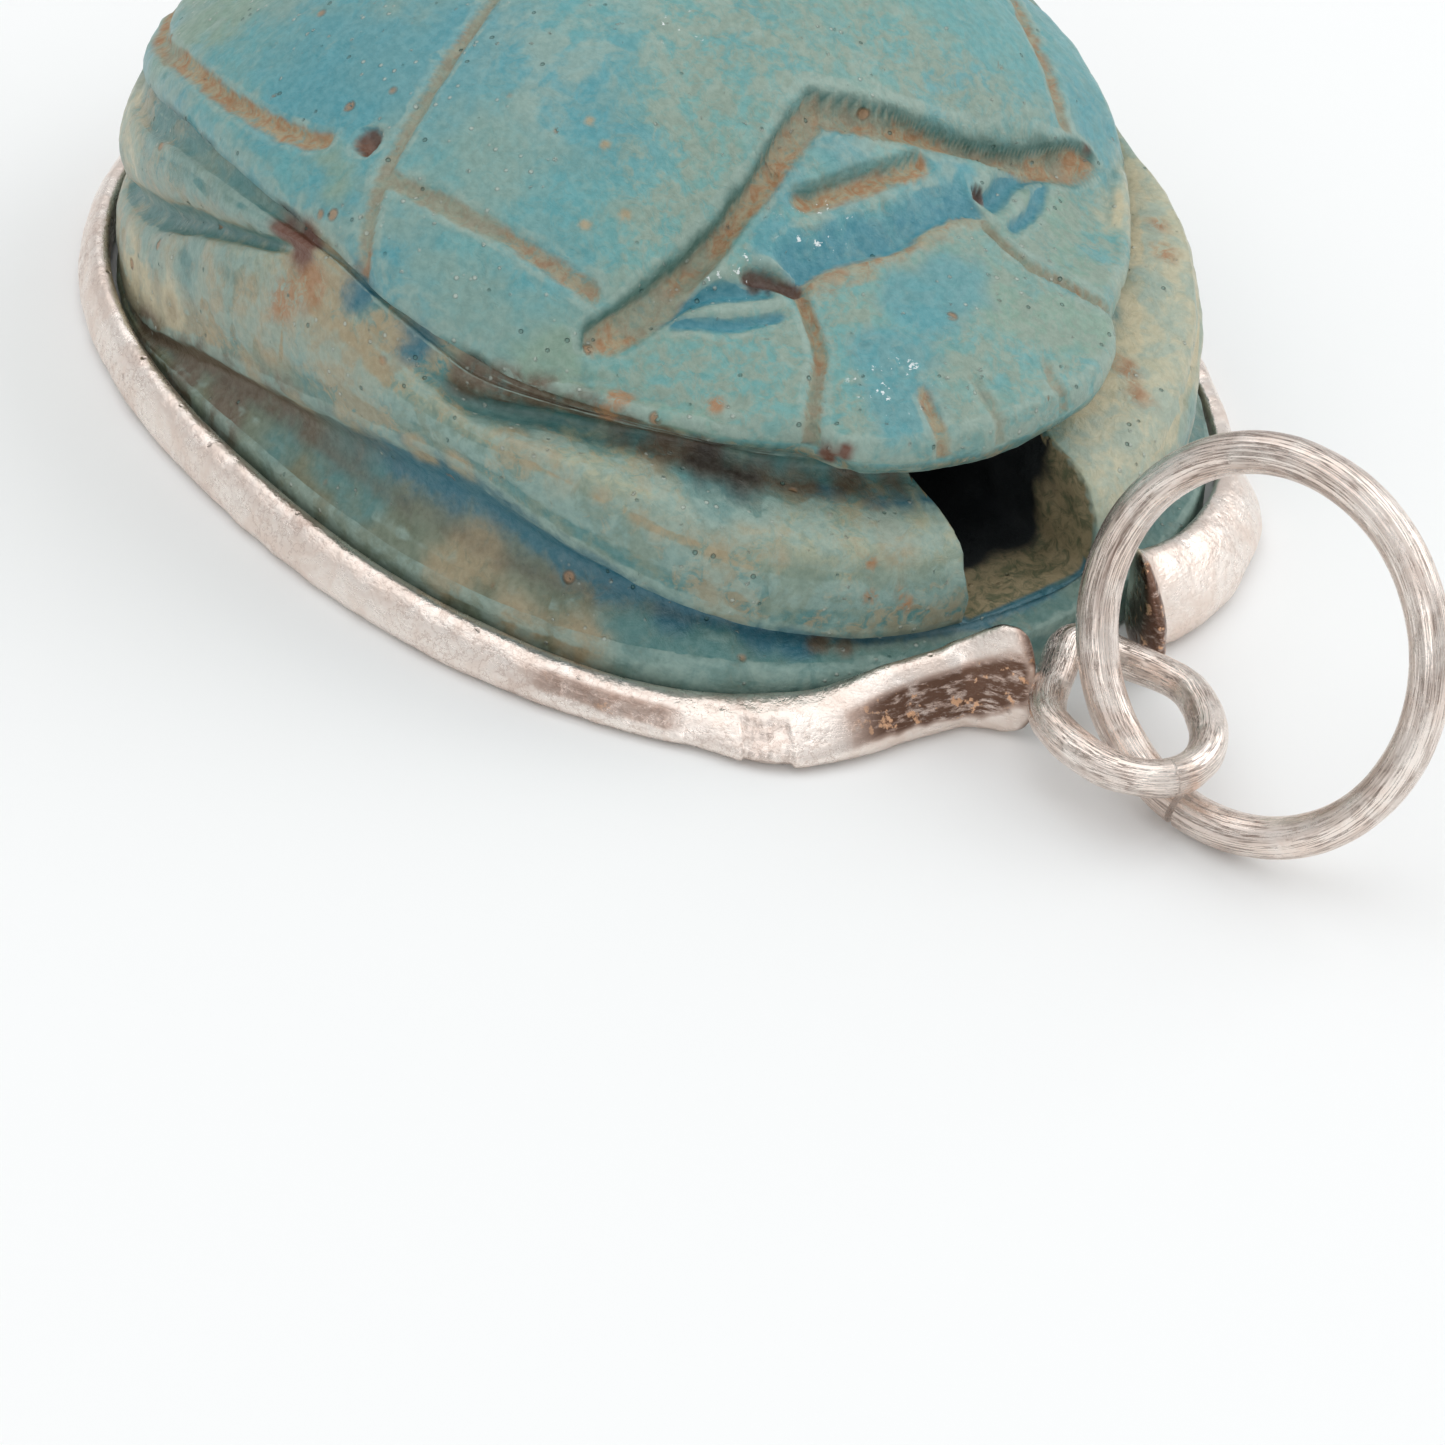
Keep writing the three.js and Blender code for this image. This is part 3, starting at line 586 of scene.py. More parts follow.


# Stains and tints, with painted glints and painted shade in holes, each at a few places on the surface, with
# its reach in millimetres
stainsAndPaintedLight = [
    ("tan", 0.95, [(0.41, -8.59, 5.59), (1.09, -8.59, 5.5), (0.33, -8.77, 4.78), (-0.11, -8.93, 3.94)]),
    ("rust", 0.5, [(-0.3, -8.54, 5.89), (0.2, -8.5, 5.9)]),
    ("ochre", 0.5, [(0.33, -8.77, 4.78), (0.9, -8.6, 5.3)]),
    ("tan", 0.8, [(-0.9, -8.86, 4.0), (-2.3, -8.9, 3.6), (1.74, -8.81, 4.46), (2.29, -8.73, 4.62),
                  (2.92, -8.49, 5.1)]),
    ("buff", 0.9, [(-8.27, -7.04, 3.7), (-7.14, -7.68, 3.9), (-9.19, -6.56, 3.21)]),
    ("buff", 0.8, [(-6.57, -8.12, 1.6), (-5.4, -8.4, 1.9), (-4.07, -8.72, 2.3)]),
    ("tan", 0.4, [(-4.07, -8.72, 2.17), (-2.3, -8.9, 2.4), (-0.8, -8.9, 2.6), (0.63, -8.76, 2.71),
                  (2.27, -8.72, 3.17), (4.17, -8.44, 3.48), (5.18, -8.26, 3.66)]),
    ("brown", 0.7, [(-5.28, -8.46, 0.96), (-3.55, -8.84, 1.1), (-1.67, -9.11, 1.09), (-1.9, -8.8, 1.7)]),
    ("tan", 0.7, [(5.23, -8.48, 1.42), (6.87, -8.06, 1.11), (8.01, -7.52, 0.91), (5.34, -8.12, 1.92)]),
    ("blue", 0.7, [(0.11, -8.88, 1.55), (1.5, -8.66, 1.81), (2.55, -8.68, 1.74)]),
    ("sea", 0.5, [(4.6, -8.0, 2.5), (5.65, -7.8, 2.6), (7.3, -7.2, 2.5), (8.13, -6.76, 2.26),
                  (9.02, -6.05, 1.95), (10.01, -4.95, 1.55), (10.52, -4.41, 1.42)]),
    ("brown", 0.3, [(10.78, -4.15, 1.36), (11.08, -3.8, 1.29)]),
    ("blue", 0.75, [(8.61, -7.06, 1.32), (9.86, -6.18, 1.17), (11.02, -4.77, 0.97)]),
    ("tan", 0.35, [(6.0, -7.7, 4.6), (6.58, -7.49, 4.5), (7.16, -7.46, 4.17)]),
    ("blue", 0.6, [(8.33, -5.19, 4.2), (9.13, -5.32, 3.84), (9.19, -4.69, 3.86)]),
    ("azure", 0.3, [(8.5, -5.4, 4.1), (9.0, -5.0, 3.95)]),
    ("blue", 0.55, [(5.9, -7.3, 4.75), (5.3, -7.7, 4.9)]),
    ("sea", 0.4, [(10.28, -2.06, 3.48), (10.47, -1.51, 3.37), (10.32, -2.56, 3.48), (9.6, -3.2, 3.75)]),
    ("tan", 0.24, [(8.82, -6.43, 3.65), (9.2, -6.05, 3.55), (9.6, -5.65, 3.47), (10.26, -4.8, 3.31),
                   (8.49, -6.64, 3.87), (7.8, -7.0, 4.0)]),
    ("tan", 0.45, [(10.5, -2.7, 3.41), (11.09, -2.69, 3.19)]),
    ("ochre", 0.15, [(11.07, -3.35, 3.0), (11.25, -3.45, 2.48), (11.41, -2.89, 2.47), (11.52, -2.83, 2.17)]),
    ("sea", 0.6, [(3.46, -8.2, 5.29), (2.05, -8.34, 5.77)]),
    ("blue", 0.8, [(-6.09, -7.6, 5.08), (-2.24, -8.43, 5.74), (-1.42, -8.5, 5.74), (-4.0, -8.1, 5.4)]),
    ("blue", 0.9, [(-5.41, -8.32, 2.94), (-3.33, -8.68, 3.69), (-1.7, -8.8, 4.14)]),
    ("brown", 0.47, [(4.6, -7.7, 5.0), (5.28, -7.36, 5.13), (5.81, -6.96, 5.06), (6.45, -6.52, 4.93),
                     (6.95, -5.99, 4.69), (7.54, -5.51, 4.41), (8.01, -4.96, 4.32), (8.86, -4.22, 4.03),
                     (9.27, -3.61, 3.88), (9.62, -2.72, 3.74), (9.76, -1.9, 3.66)]),
    # painted shade: a near-black spot where a small hole is dark inside
    ("hole", 0.4, [(8.23, -4.95, 4.22), (8.45, -4.72, 4.12), (8.71, -4.55, 4.02)]),
    ("buff", 1.3, [(6.22, 7.65, 4.52), (7.2, 6.6, 4.6), (7.83, 6.79, 4.28), (9.13, 5.57, 3.81),
                   (8.92, 4.85, 3.96), (10.47, 3.07, 3.43), (10.25, 3.75, 3.5), (11.1, 2.6, 3.2)]),
    ("ochre", 0.3, [(10.25, 3.75, 3.5), (9.62, 4.02, 3.74), (7.6, 6.6, 4.4), (6.9, 7.0, 4.6)]),
    ("blue", 2.0, [(-2.09, -6.26, 7.94), (-0.4, -5.38, 8.48), (-4.5, -3.0, 8.9)]),
    ("green", 1.7, [(-6.61, -6.32, 6.44), (-8.2, -5.0, 6.3)]),
    ("pale", 1.7, [(1.81, -2.87, 9.19), (1.7, -3.69, 8.98), (0.8, -0.5, 9.5)]),
    ("tan", 0.13, [(3.15, -4.04, 8.49), (4.58, -5.15, 7.4), (4.83, -4.44, 7.5), (3.66, -4.07, 8.27)]),
    ("ochre", 0.22, [(6.88, -5.96, 5.29), (6.84, -6.21, 4.93), (8.02, -4.67, 5.24), (0.1, -6.9, 7.3),
                     (0.3, -7.0, 7.2)]),
    ("rust", 0.2, [(9.71, -3.37, 4.63), (9.99, -3.22, 4.8), (5.83, 5.97, 6.02)]),
    ("rust", 0.25, [(6.95, -2.2, 6.0), (7.2, -2.1, 5.9)]),
    # painted shade: near-black at the bottom of the eye cut and of a drilled pit
    ("hole", 0.16, [(6.55, -2.7, 6.25), (6.75, -2.45, 6.1), (6.9, -2.25, 5.95)]),
    ("hole", 0.1, [(6.62, 2.55, 6.4), (6.5, 2.62, 6.5), (6.72, 2.45, 6.4)]),
    ("green", 0.45, [(0.2, -7.4, 6.9), (0.5, -7.6, 6.7), (-0.3, -7.3, 7.0)]),
    ("green", 1.0, [(5.91, -6.6, 5.52), (6.5, -5.9, 5.6), (8.0, -5.3, 5.2)]),
    ("azure", 0.7, [(5.52, 0.21, 7.71), (6.35, -1.91, 7.0), (6.45, 0.96, 6.9), (6.4, -0.5, 7.0),
                    (5.6, -1.2, 7.5), (6.2, 2.2, 6.8)]),
    ("green", 1.2, [(8.9, 1.2, 5.89), (8.22, 0.54, 6.19), (9.6, 2.2, 5.4), (7.2, 4.2, 6.0), (8.3, 3.6, 5.7)]),
    ("blue", 0.9, [(8.45, -0.47, 6.11), (9.91, -1.91, 5.37), (8.34, 0.56, 6.15), (9.1, -1.4, 5.75)]),
    # painted highlights: white glint specks where the glaze catches the light
    ("glint", 0.55, [(5.85, -3.69, 6.78), (5.99, -3.95, 6.6), (6.2, -4.3, 6.4), (6.4, -2.9, 6.5)]),
    ("glint", 0.7, [(9.63, -1.86, 5.5), (9.59, -2.14, 5.47), (9.62, -1.6, 5.55), (6.32, -1.17, 7.07),
                    (6.3, -0.8, 7.1)]),
    ("glint", 0.5, [(2.4, -1.5, 9.3), (1.8, 0.5, 9.5)]),
]
stainAndLightKinds = ("tan", "ochre", "rust", "brown", "hole", "blue", "azure", "sea", "green", "buff", "pale",
              "glint")


def stainAndLightMarks(points):
    breakup = 0.3 * lumps(points, 0.9, 101, 4)
    marks = {kind: np.zeros(len(points)) for kind in stainAndLightKinds}
    for kind, reach, places in stainsAndPaintedLight:
        gap = np.min([np.linalg.norm(points - place, axis=1) for place in np.array(places)], axis=0)
        amount = smooth(0.2, 0.75, np.exp(-((gap / reach) ** 2)) + breakup * smooth(2.2, 0.6, gap / reach))
        marks[kind] = np.maximum(marks[kind], amount)
    return marks


pitting = {"size": 0.42, "seed": 61, "limit": 0.62, "depth": 0.16}


def makeBeetle(material):
    points, counts, place, turn = beetleSurface()
    quads, threes = ringFaces(counts)
    first, last = np.arange(counts[0]), np.arange(counts[-1]) + len(points) - counts[-1]
    points = np.vstack([points, (0, 0, 0), (0, 0, points[last, 2].mean())])
    place, turn = np.append(place, [-1, len(flank) - 0.5]), np.append(turn, [0, 0])
    lowest, highest = len(points) - 2, len(points) - 1
    caps = np.vstack([np.stack([0 * first + lowest, np.roll(first, -1), first], 1),
                      np.stack([0 * last + highest, last, np.roll(last, -1)], 1)])
    faces = [tuple(f) for f in quads.tolist()] + [tuple(f) for f in np.vstack([threes, caps]).tolist()]
    corners = np.vstack([quads[:, [0, 1, 2]], quads[:, [0, 2, 3]], threes, caps])
    normal = outward(points, corners)
    x, y, z = points.T
    onTop = place >= len(flank) - 1
    onFlank = (place >= 0) & ~onTop
    under = place < 0
    depth = np.zeros(len(x))
    marks = {kind: np.zeros(len(x)) for kind in cutKinds}
    depth[onTop], carved = carvedDepth(x[onTop], y[onTop])
    for name, values in carved.items():
        marks[name][onTop] = values
    depth[under], marks["carved"][under] = underCarving(x[under], y[under])
    for row, half, deep, (a, b, c, d) in creases:
        run = smooth(a, b, turn) * smooth(d, c, turn) * onFlank
        gap = np.abs(place - row + unevenness(points, "crease")) / half
        depth = depth + deep * run * np.clip(1 - gap, 0, 1)
    free = np.where(under, 0, 1) * smooth(0.0, 0.5, z)
    raised = free * sum(unevenness(points, kind) for kind in ("swell", "waves", "grain"))
    tight = 1 - 0.85 * smooth(6.8, 7.6, place) * smooth(112, 96, turn)
    strokes = unevenness(np.stack([turn * 0.02, place * 1.4, 0 * x], 1), "filing")
    filed = onFlank * smooth(0, 0.4, z) * tight * strokes
    rough = roughness(points, pitting["size"], pitting["seed"])
    pits = np.clip(rough - pitting["limit"], 0, 1) * pitting["depth"] * free
    worn = points + normal * (raised + filed - pits - depth)[:, None]
    worn[:, 2] = np.clip(worn[:, 2], 0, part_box("scarab")[1][2] / mm - 0.005)
    normal = outward(worn, corners)
    marks.update(stainAndLightMarks(worn))
    marks.update({"row": np.where(under, -1, place), "turn": turn, "broad": lumps(points, 4.6, 111),
                  "hollow": hollowness(worn, corners, normal, 14),
                  "crisp": hollowness(worn, corners, normal, 3), "middling": lumps(points, 1.7, 121, 4)})
    piece = newPiece("carvedScarab", worn * mm, faces, material)
    cutBore(piece)
    copyMarks(piece, worn, marks)
    return piece


bore = {"halfWidth": 1.5, "floor": 1.2, "top": 3.8, "inner": 6.9, "outer": 13.4, "radius": 1.1, "level": 2.5,
        "flare": 0.04, "flareRun": (9.5, 12.5), "corner": 14.0, "tail": -13, "overlap": 0.6,
        "mouthGrid": (44, 72), "holeGrid": (30, 40), "deepFrom": (10.7, 9.7), "inside": 0.16}


def ringOf(count):  # cosines and sines round a ring
    angle = 2 * np.pi * np.arange(count) / count
    return np.cos(angle), np.sin(angle)


def cutBore(piece):  # a squarish mouth under the head, then a round drilled hole to the tail
    rows, sides = bore["mouthGrid"]
    c, s = ringOf(sides)
    square = (np.abs(c) ** bore["corner"] + np.abs(s) ** bore["corner"]) ** (-1 / bore["corner"])
    half, level = (bore["top"] - bore["floor"]) / 2, (bore["top"] + bore["floor"]) / 2
    rings = []
    for x in np.linspace(bore["inner"], bore["outer"], rows):
        widen = 1 + bore["flare"] * smooth(*bore["flareRun"], x)
        rings.append(np.stack([np.full_like(c, x), -bore["halfWidth"] * widen * square * c,
                               level + half * square * s], 1))
    points = np.concatenate(rings)
    out = np.stack([0 * points[:, 0], points[:, 1], points[:, 2] - level], 1)
    out /= np.linalg.norm(out, axis=1)[:, None]
    points += out * (0.06 * lumps(points, 0.5, 71))[:, None]
    mouth = closedPipe("boreMouth", points, rows, sides)
    rows, sides = bore["holeGrid"]
    c, s = ringOf(sides)
    points = np.concatenate([
        np.stack([np.full_like(c, x), -bore["radius"] * c, bore["level"] + bore["radius"] * s], 1)
        for x in np.linspace(bore["tail"], bore["inner"] + bore["overlap"], rows)])
    points[:, 1] *= 1 + 0.03 * lumps(points, 1.4, 73)
    hole = closedPipe("boreHole", points, rows, sides)
    for cutter in (mouth, hole):
        cut = piece.modifiers.new("cut", "BOOLEAN")
        cut.operation, cut.solver, cut.object = "DIFFERENCE", "EXACT", cutter
        bakeModifiers(piece)
        bpy.data.objects.remove(cutter)


def closedPipe(name, points, rows, columns):
    faces = [tuple(f) for f in gridFaces(rows, columns).tolist()]
    faces.append(tuple(range(columns))[::-1])
    faces.append(tuple(range((rows - 1) * columns, rows * columns)))
    pipe = newPiece(name, points * mm, faces)
    fixNormals(pipe)
    return pipe


def fixNormals(piece):
    shape = bmesh.new()
    shape.from_mesh(piece.data)
    bmesh.ops.recalc_face_normals(shape, faces=shape.faces)
    shape.to_mesh(piece.data)
    shape.free()
    piece.data.shade_smooth()


def bakeModifiers(piece):
    bpy.context.view_layer.update()
    shaped = bpy.data.meshes.new_from_object(piece.evaluated_get(bpy.context.evaluated_depsgraph_get()))
    piece.modifiers.clear()
    piece.data = shaped


def copyMarks(piece, points, marks):  # marks of the nearest uncut point, and the painted shade inside the bore, darker the deeper in
    tree = kdtree.KDTree(len(points))
    for i, p in enumerate(points):
        tree.insert(p, i)
    tree.balance()
    count = len(piece.data.vertices)
    here = np.empty(count * 3)
    piece.data.vertices.foreach_get("co", here)
    here = here.reshape(-1, 3) / mm
    nearest, gap = np.empty(count, int), np.empty(count)
    for i, p in enumerate(here):
        _, nearest[i], gap[i] = tree.find(p)
    for name, values in marks.items():
        store(piece, name, values[nearest])
    # painted shade: the bore is painted darker the deeper in it lies
    inner = 0.25 + 0.75 * smooth(*bore["deepFrom"], here[:, 0] + 0.2 * lumps(here, 0.6, 151))
    store(piece, "inside", np.where(gap > bore["inside"], inner, 0))


# Glaze: mottled turquoise, greener on the head and legs, tan in the carving, blue in the recess

# among these, the dark green of cut walls and the near-black of holes and of the deep bore are painted shade,
# and the white glint is a painted highlight; the dark green also colours pinholes
glazeColours = {"turquoise": (0.099, 0.331, 0.338), "azure": (0.056, 0.281, 0.334),
                "grey": (0.181, 0.322, 0.291), "green": (0.202, 0.322, 0.24),
                "pale": (0.275, 0.386, 0.338), "crust": (0.46, 0.52, 0.46),
                "tan": (0.35, 0.285, 0.17), "ochre": (0.34, 0.18, 0.08), "rust": (0.13, 0.04, 0.018),
                "brown": (0.12, 0.085, 0.05), "holeShadow": (0.03, 0.018, 0.012), "sea": (0.02, 0.135, 0.19),
                "olive": (0.14, 0.15, 0.085), "boreShadow": (0.012, 0.016, 0.018), "wall": (0.055, 0.15, 0.13),
                "leg": (0.17, 0.245, 0.19), "legTeal": (0.075, 0.215, 0.21), "cream": (0.42, 0.41, 0.26),
                "buff": (0.55, 0.49, 0.32), "trough": (0.03, 0.215, 0.28), "ash": (0.232, 0.313, 0.254),
                "shade": (0.0, 0.02, 0.02), "light": (0.8, 0.9, 0.8), "glint": (0.85, 0.9, 0.9)}


def glazeMaterial():
    f = Finish("wornTurquoiseGlaze")
    c = glazeColours
    mark = {name: f.attribute(name) for name in (*cutKinds, *stainAndLightKinds, "row", "turn", "inside", "hollow",
                                                 "crisp", "broad", "middling")}
    top = len(flank) - 1.0
    small, tiny, fine = f.noise(0.6, 5, 0.62, 0.5), f.noise(0.16, 3, 0.6), f.noise(0.28, 5, 0.7, 0.8)
    rough = small + mark["middling"] * 0.18
    row = mark["row"] + small * 1.2 + mark["middling"] * 0.2 - 0.6
    turn = mark["turn"] + mark["middling"] * 4.0
    onHead = mark["row"].span(top - 0.5, top) * mark["turn"].span(56.0, 36.0)
    onFlank = mark["row"].span(top - 0.2, top - 0.9)
    greener = (onHead * 0.5).highest(mark["green"] * 0.9)
    patchy = (fine * 0.6 + small * 0.5).span(0.47, 0.62)
    colour = f.coats(f.blend(mark["broad"].span(-0.5, 0.6), c["turquoise"], c["azure"]),
                     (mark["middling"].span(0.0, 0.9) * rough.span(0.3, 0.65, 0.3, 0.8), c["grey"]),
                     (greener * (rough + mark["broad"] * 0.2).span(0.25, 0.6, 0.35, 1.0), c["green"]),
                     (patchy * (onHead * 0.95).highest(0.3), c["ash"]),
                     (mark["blue"] * 0.7, c["azure"]),
                     (mark["pale"] * rough.span(0.35, 0.6) * 0.6, c["pale"]))

    # the flank, from the legs down to the plate
    dusty = turn.span(78.0, 92.0) * row.span(3.6, 4.4) * row.span(7.0, 6.2)
    legs = f.coats(f.blend(rough.span(0.35, 0.6), c["leg"], c["legTeal"]),
                   (row.span(5.2, 6.0) * row.span(7.0, 6.4) * fine.span(0.35, 0.6, 0.3, 0.85), c["cream"]),
                   (row.span(8.2, 7.5) * row.span(7.0, 7.2) * turn.span(88.0, 98.0) * 0.7, c["tan"]),
                   ((fine + mark["middling"] * 0.25 + dusty * 0.16).span(0.5, 0.68) * 0.75, c["tan"]))
    recess = row.span(2.3, 3.0) * row.span(4.3, 3.7)
    ahead = turn.span(84.0, 70.0)
    plate = row.span(-0.3, 0.3) * row.span(3.0, 2.3)
    olive = f.blend(turn.span(46.0, 34.0) * 0.8, c["olive"], c["legTeal"])
    colour = f.coats(colour, (onFlank, legs),
                     (mark["azure"] * rough.span(0.25, 0.5, 0.45, 0.85), c["azure"]),
                     (recess * ahead * 0.9, c["sea"]),
                     (recess * turn.span(72.0, 88.0) * turn.span(140.0, 118.0), c["brown"]),
                     (plate * rough.span(0.3, 0.6, 0.5, 0.95), olive),
                     (mark["blue"] * onFlank * rough.span(0.3, 0.6, 0.4, 0.9), c["legTeal"]),
                     (mark["sea"] * rough.span(0.2, 0.45, 0.7, 0.95), c["sea"]),
                     (mark["pool"] * rough.span(0.3, 0.5, 0.6, 0.95), c["trough"]),
                     (mark["buff"] * fine.span(0.25, 0.6, 0.6, 0.95), c["buff"]),
                     (mark["tan"] * fine.span(0.3, 0.55, 0.45, 0.95), c["tan"]))

    # deposit and dirt, with painted shade in hollows, on the steep walls of cuts and in holes
    # painted shade with brown dirt where the surface lies below its smoothed surroundings
    sunkShadeAndDirt = mark["hollow"].span(0.015, 0.09) * (1 - recess * ahead) * (1 - mark["pool"])
    deposit = mark["carved"] * (fine * 0.7 + tiny * 0.3).span(0.3, 0.5, 0.35, 1.0)
    greened = mark["carved"] * (small * 0.5 + mark["middling"] * 0.25).span(0.22, 0.36)
    specks = f.cells(0.3).span(0.2, 0.08) * (fine + mark["middling"] * 0.25).span(0.54, 0.64)
    dots = f.cells(1.3).span(0.12, 0.06) * rough.span(0.45, 0.55)
    pinholes = f.cells(0.55).span(0.1, 0.05) * rough.span(0.42, 0.5)
    creaseShadeAndDirt = f.blend(row.span(6.2, 6.6), c["brown"], c["legTeal"])
    # layers below: painted shade and brown dirt in hollows, painted shade on steep cut walls, near-black
    # painted shade in holes
    colour = f.coats(colour, (sunkShadeAndDirt * rough.span(0.3, 0.6, 0.3, 0.85), creaseShadeAndDirt),
                     (mark["brown"] * fine.span(0.3, 0.55, 0.65, 1.0), c["brown"]),
                     (mark["crisp"].span(-0.004, -0.016) * small.span(0.4, 0.6, 0.2, 0.7), c["pale"]),
                     (mark["wall"] * rough.span(0.25, 0.55, 0.55, 0.95), c["wall"]),
                     (deposit, f.blend(fine.span(0.42, 0.62), c["tan"], c["ochre"])),
                     (greened * 0.6, c["ash"]),
                     (mark["ochre"] * fine.span(0.35, 0.55), c["ochre"]),
                     (mark["rust"].highest(mark["pits"] * 0.85), c["rust"]),
                     (mark["hole"], c["holeShadow"]),
                     (specks * 0.7, c["crust"]), (dots * 0.8, c["ochre"]), (pinholes * 0.6, c["wall"]))
    colour = f.blend(tiny.span(0.3, 0.7), f.blend(0.1, colour, c["shade"]), f.blend(0.05, colour, c["light"]))
    # inside the bore: olive and tan dust near the mouth, near-black painted shade deeper in
    dusted = f.blend(fine.span(0.35, 0.6), c["olive"], c["tan"])
    within = f.blend(mark["inside"].span(0.35, 0.75), dusted, c["boreShadow"])
    # painted highlights: white glint specks at the listed places
    glint = f.noise(0.2, 3, 0.7).span(0.63, 0.69) * mark["glint"]
    colour = f.coats(colour, (mark["inside"].span(0.02, 0.2), within), (glint * 0.9, c["glint"]))
    matt = small.span(0.3, 0.7, 0.34, 0.52) + deposit * 0.3 + mark["inside"] * 0.3 - glint * 0.2
    ground = f.bump(small * 0.8 + fine * 0.6 + tiny * 0.16 + specks * 0.5 - dots - pinholes * 0.8, 0.05)
    f.connect(Base_Color=colour, Roughness=matt, Normal=ground)
    return f.material


scarab = makeBeetle(glazeMaterial())
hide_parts("scarab")
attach(scarab, "root")
print("scarab carved:", len(scarab.data.polygons), "faces")


# The silver band, its lower edge on the ground and its ends flaring to the loop

band = {"fit": 0.18, "wallBottom": 0.6, "wallTop": 0.42, "lift": 0.04, "left": 5.6, "right": 6.2,
        "rightFlare": 11, "leftFlare": 9.5, "flare": 0.95, "crowding": 0.7, "steps": 1100, "around": 44,
        "top": [(6, 1.85), (10, 1.62), (16, 1.45), (23.4, 0.95), (35, 0.78), (55, 0.95), (90, 1.05),
                (180, 1.1)],
        "rightRise": [(6, 0.7), (8, 0.4), (10, 0.1), (12, 0)],
        "leftRise": [(6, 0.37), (8, 0.47), (10, 0.33), (12, 0.27), (16, 0.15), (23.4, 0.45), (29, 0.4),
                     (36, 0)],
        "rightSwell": [(6, 0.1), (14, 0.15), (20, 0.5), (26, 0.75), (33, 0.3), (45, 0.08), (90, 0)],
        "leftSwell": [(6, 0.2), (12, 0.4), (18, 0.45), (26, 0.4), (31, 0.25), (37, -0.15), (48, -0.15),
                      (60, 0)],
        "noseLength": 0.45, "noseEnd": 0.25}
punch = {"angle": -27.2, "reach": 12.6, "height": 0.48, "half": 0.45, "depth": 0.09, "strokeDepth": 0.05,
         "width": 0.05, "slant": 0.4, "strokes": [(-0.26, 0.14, 0.12), (-0.05, -0.16, 0.1), (0.02, 0.2, 0.09),
                                                  (0.26, -0.1, 0.14), (-0.24, -0.24, 0.07)]}


def bandSection(angle):  # how far out the strip stands at one angle, and the corners of its section
    turn = fromHead(angle)
    hand = "right" if np.sin(angle) < 0 else "left"
    inner = baseRadius(angle) + band["fit"]
    top = along(band["top"], turn) + along(band[hand + "Rise"], turn)
    swell = along(band[hand + "Swell"], turn)
    flare = band["flare"] * (1 - smooth(5, band[hand + "Flare"], turn))
    bottom, low, high = band["lift"], band["wallBottom"], band["wallTop"]
    corners = [(0, bottom), (low + swell, bottom), (low + 0.1 + swell, 0.35 * top),
               (high + 0.1 + 0.45 * swell, 0.8 * top), (0.7 * high, top), (0.2 * high, top), (0, top - 0.12)]
    return inner + flare, corners


def roundLoop(corners, count):  # even points round a loop of corners, with its corners softened
    loop = np.array(corners, float)
    for _ in range(2):
        nextOne = np.roll(loop, -1, 0)
        loop = np.stack([0.8 * loop + 0.2 * nextOne, 0.2 * loop + 0.8 * nextOne], 1).reshape(-1, 2)
    closed = np.vstack([loop, loop[:1]])
    run = np.concatenate([[0], np.cumsum(np.linalg.norm(np.diff(closed, axis=0), axis=1))])
    t = np.linspace(0, run[-1], count, endpoint=False)
    return np.stack([np.interp(t, run, closed[:, 0]), np.interp(t, run, closed[:, 1])], 1)


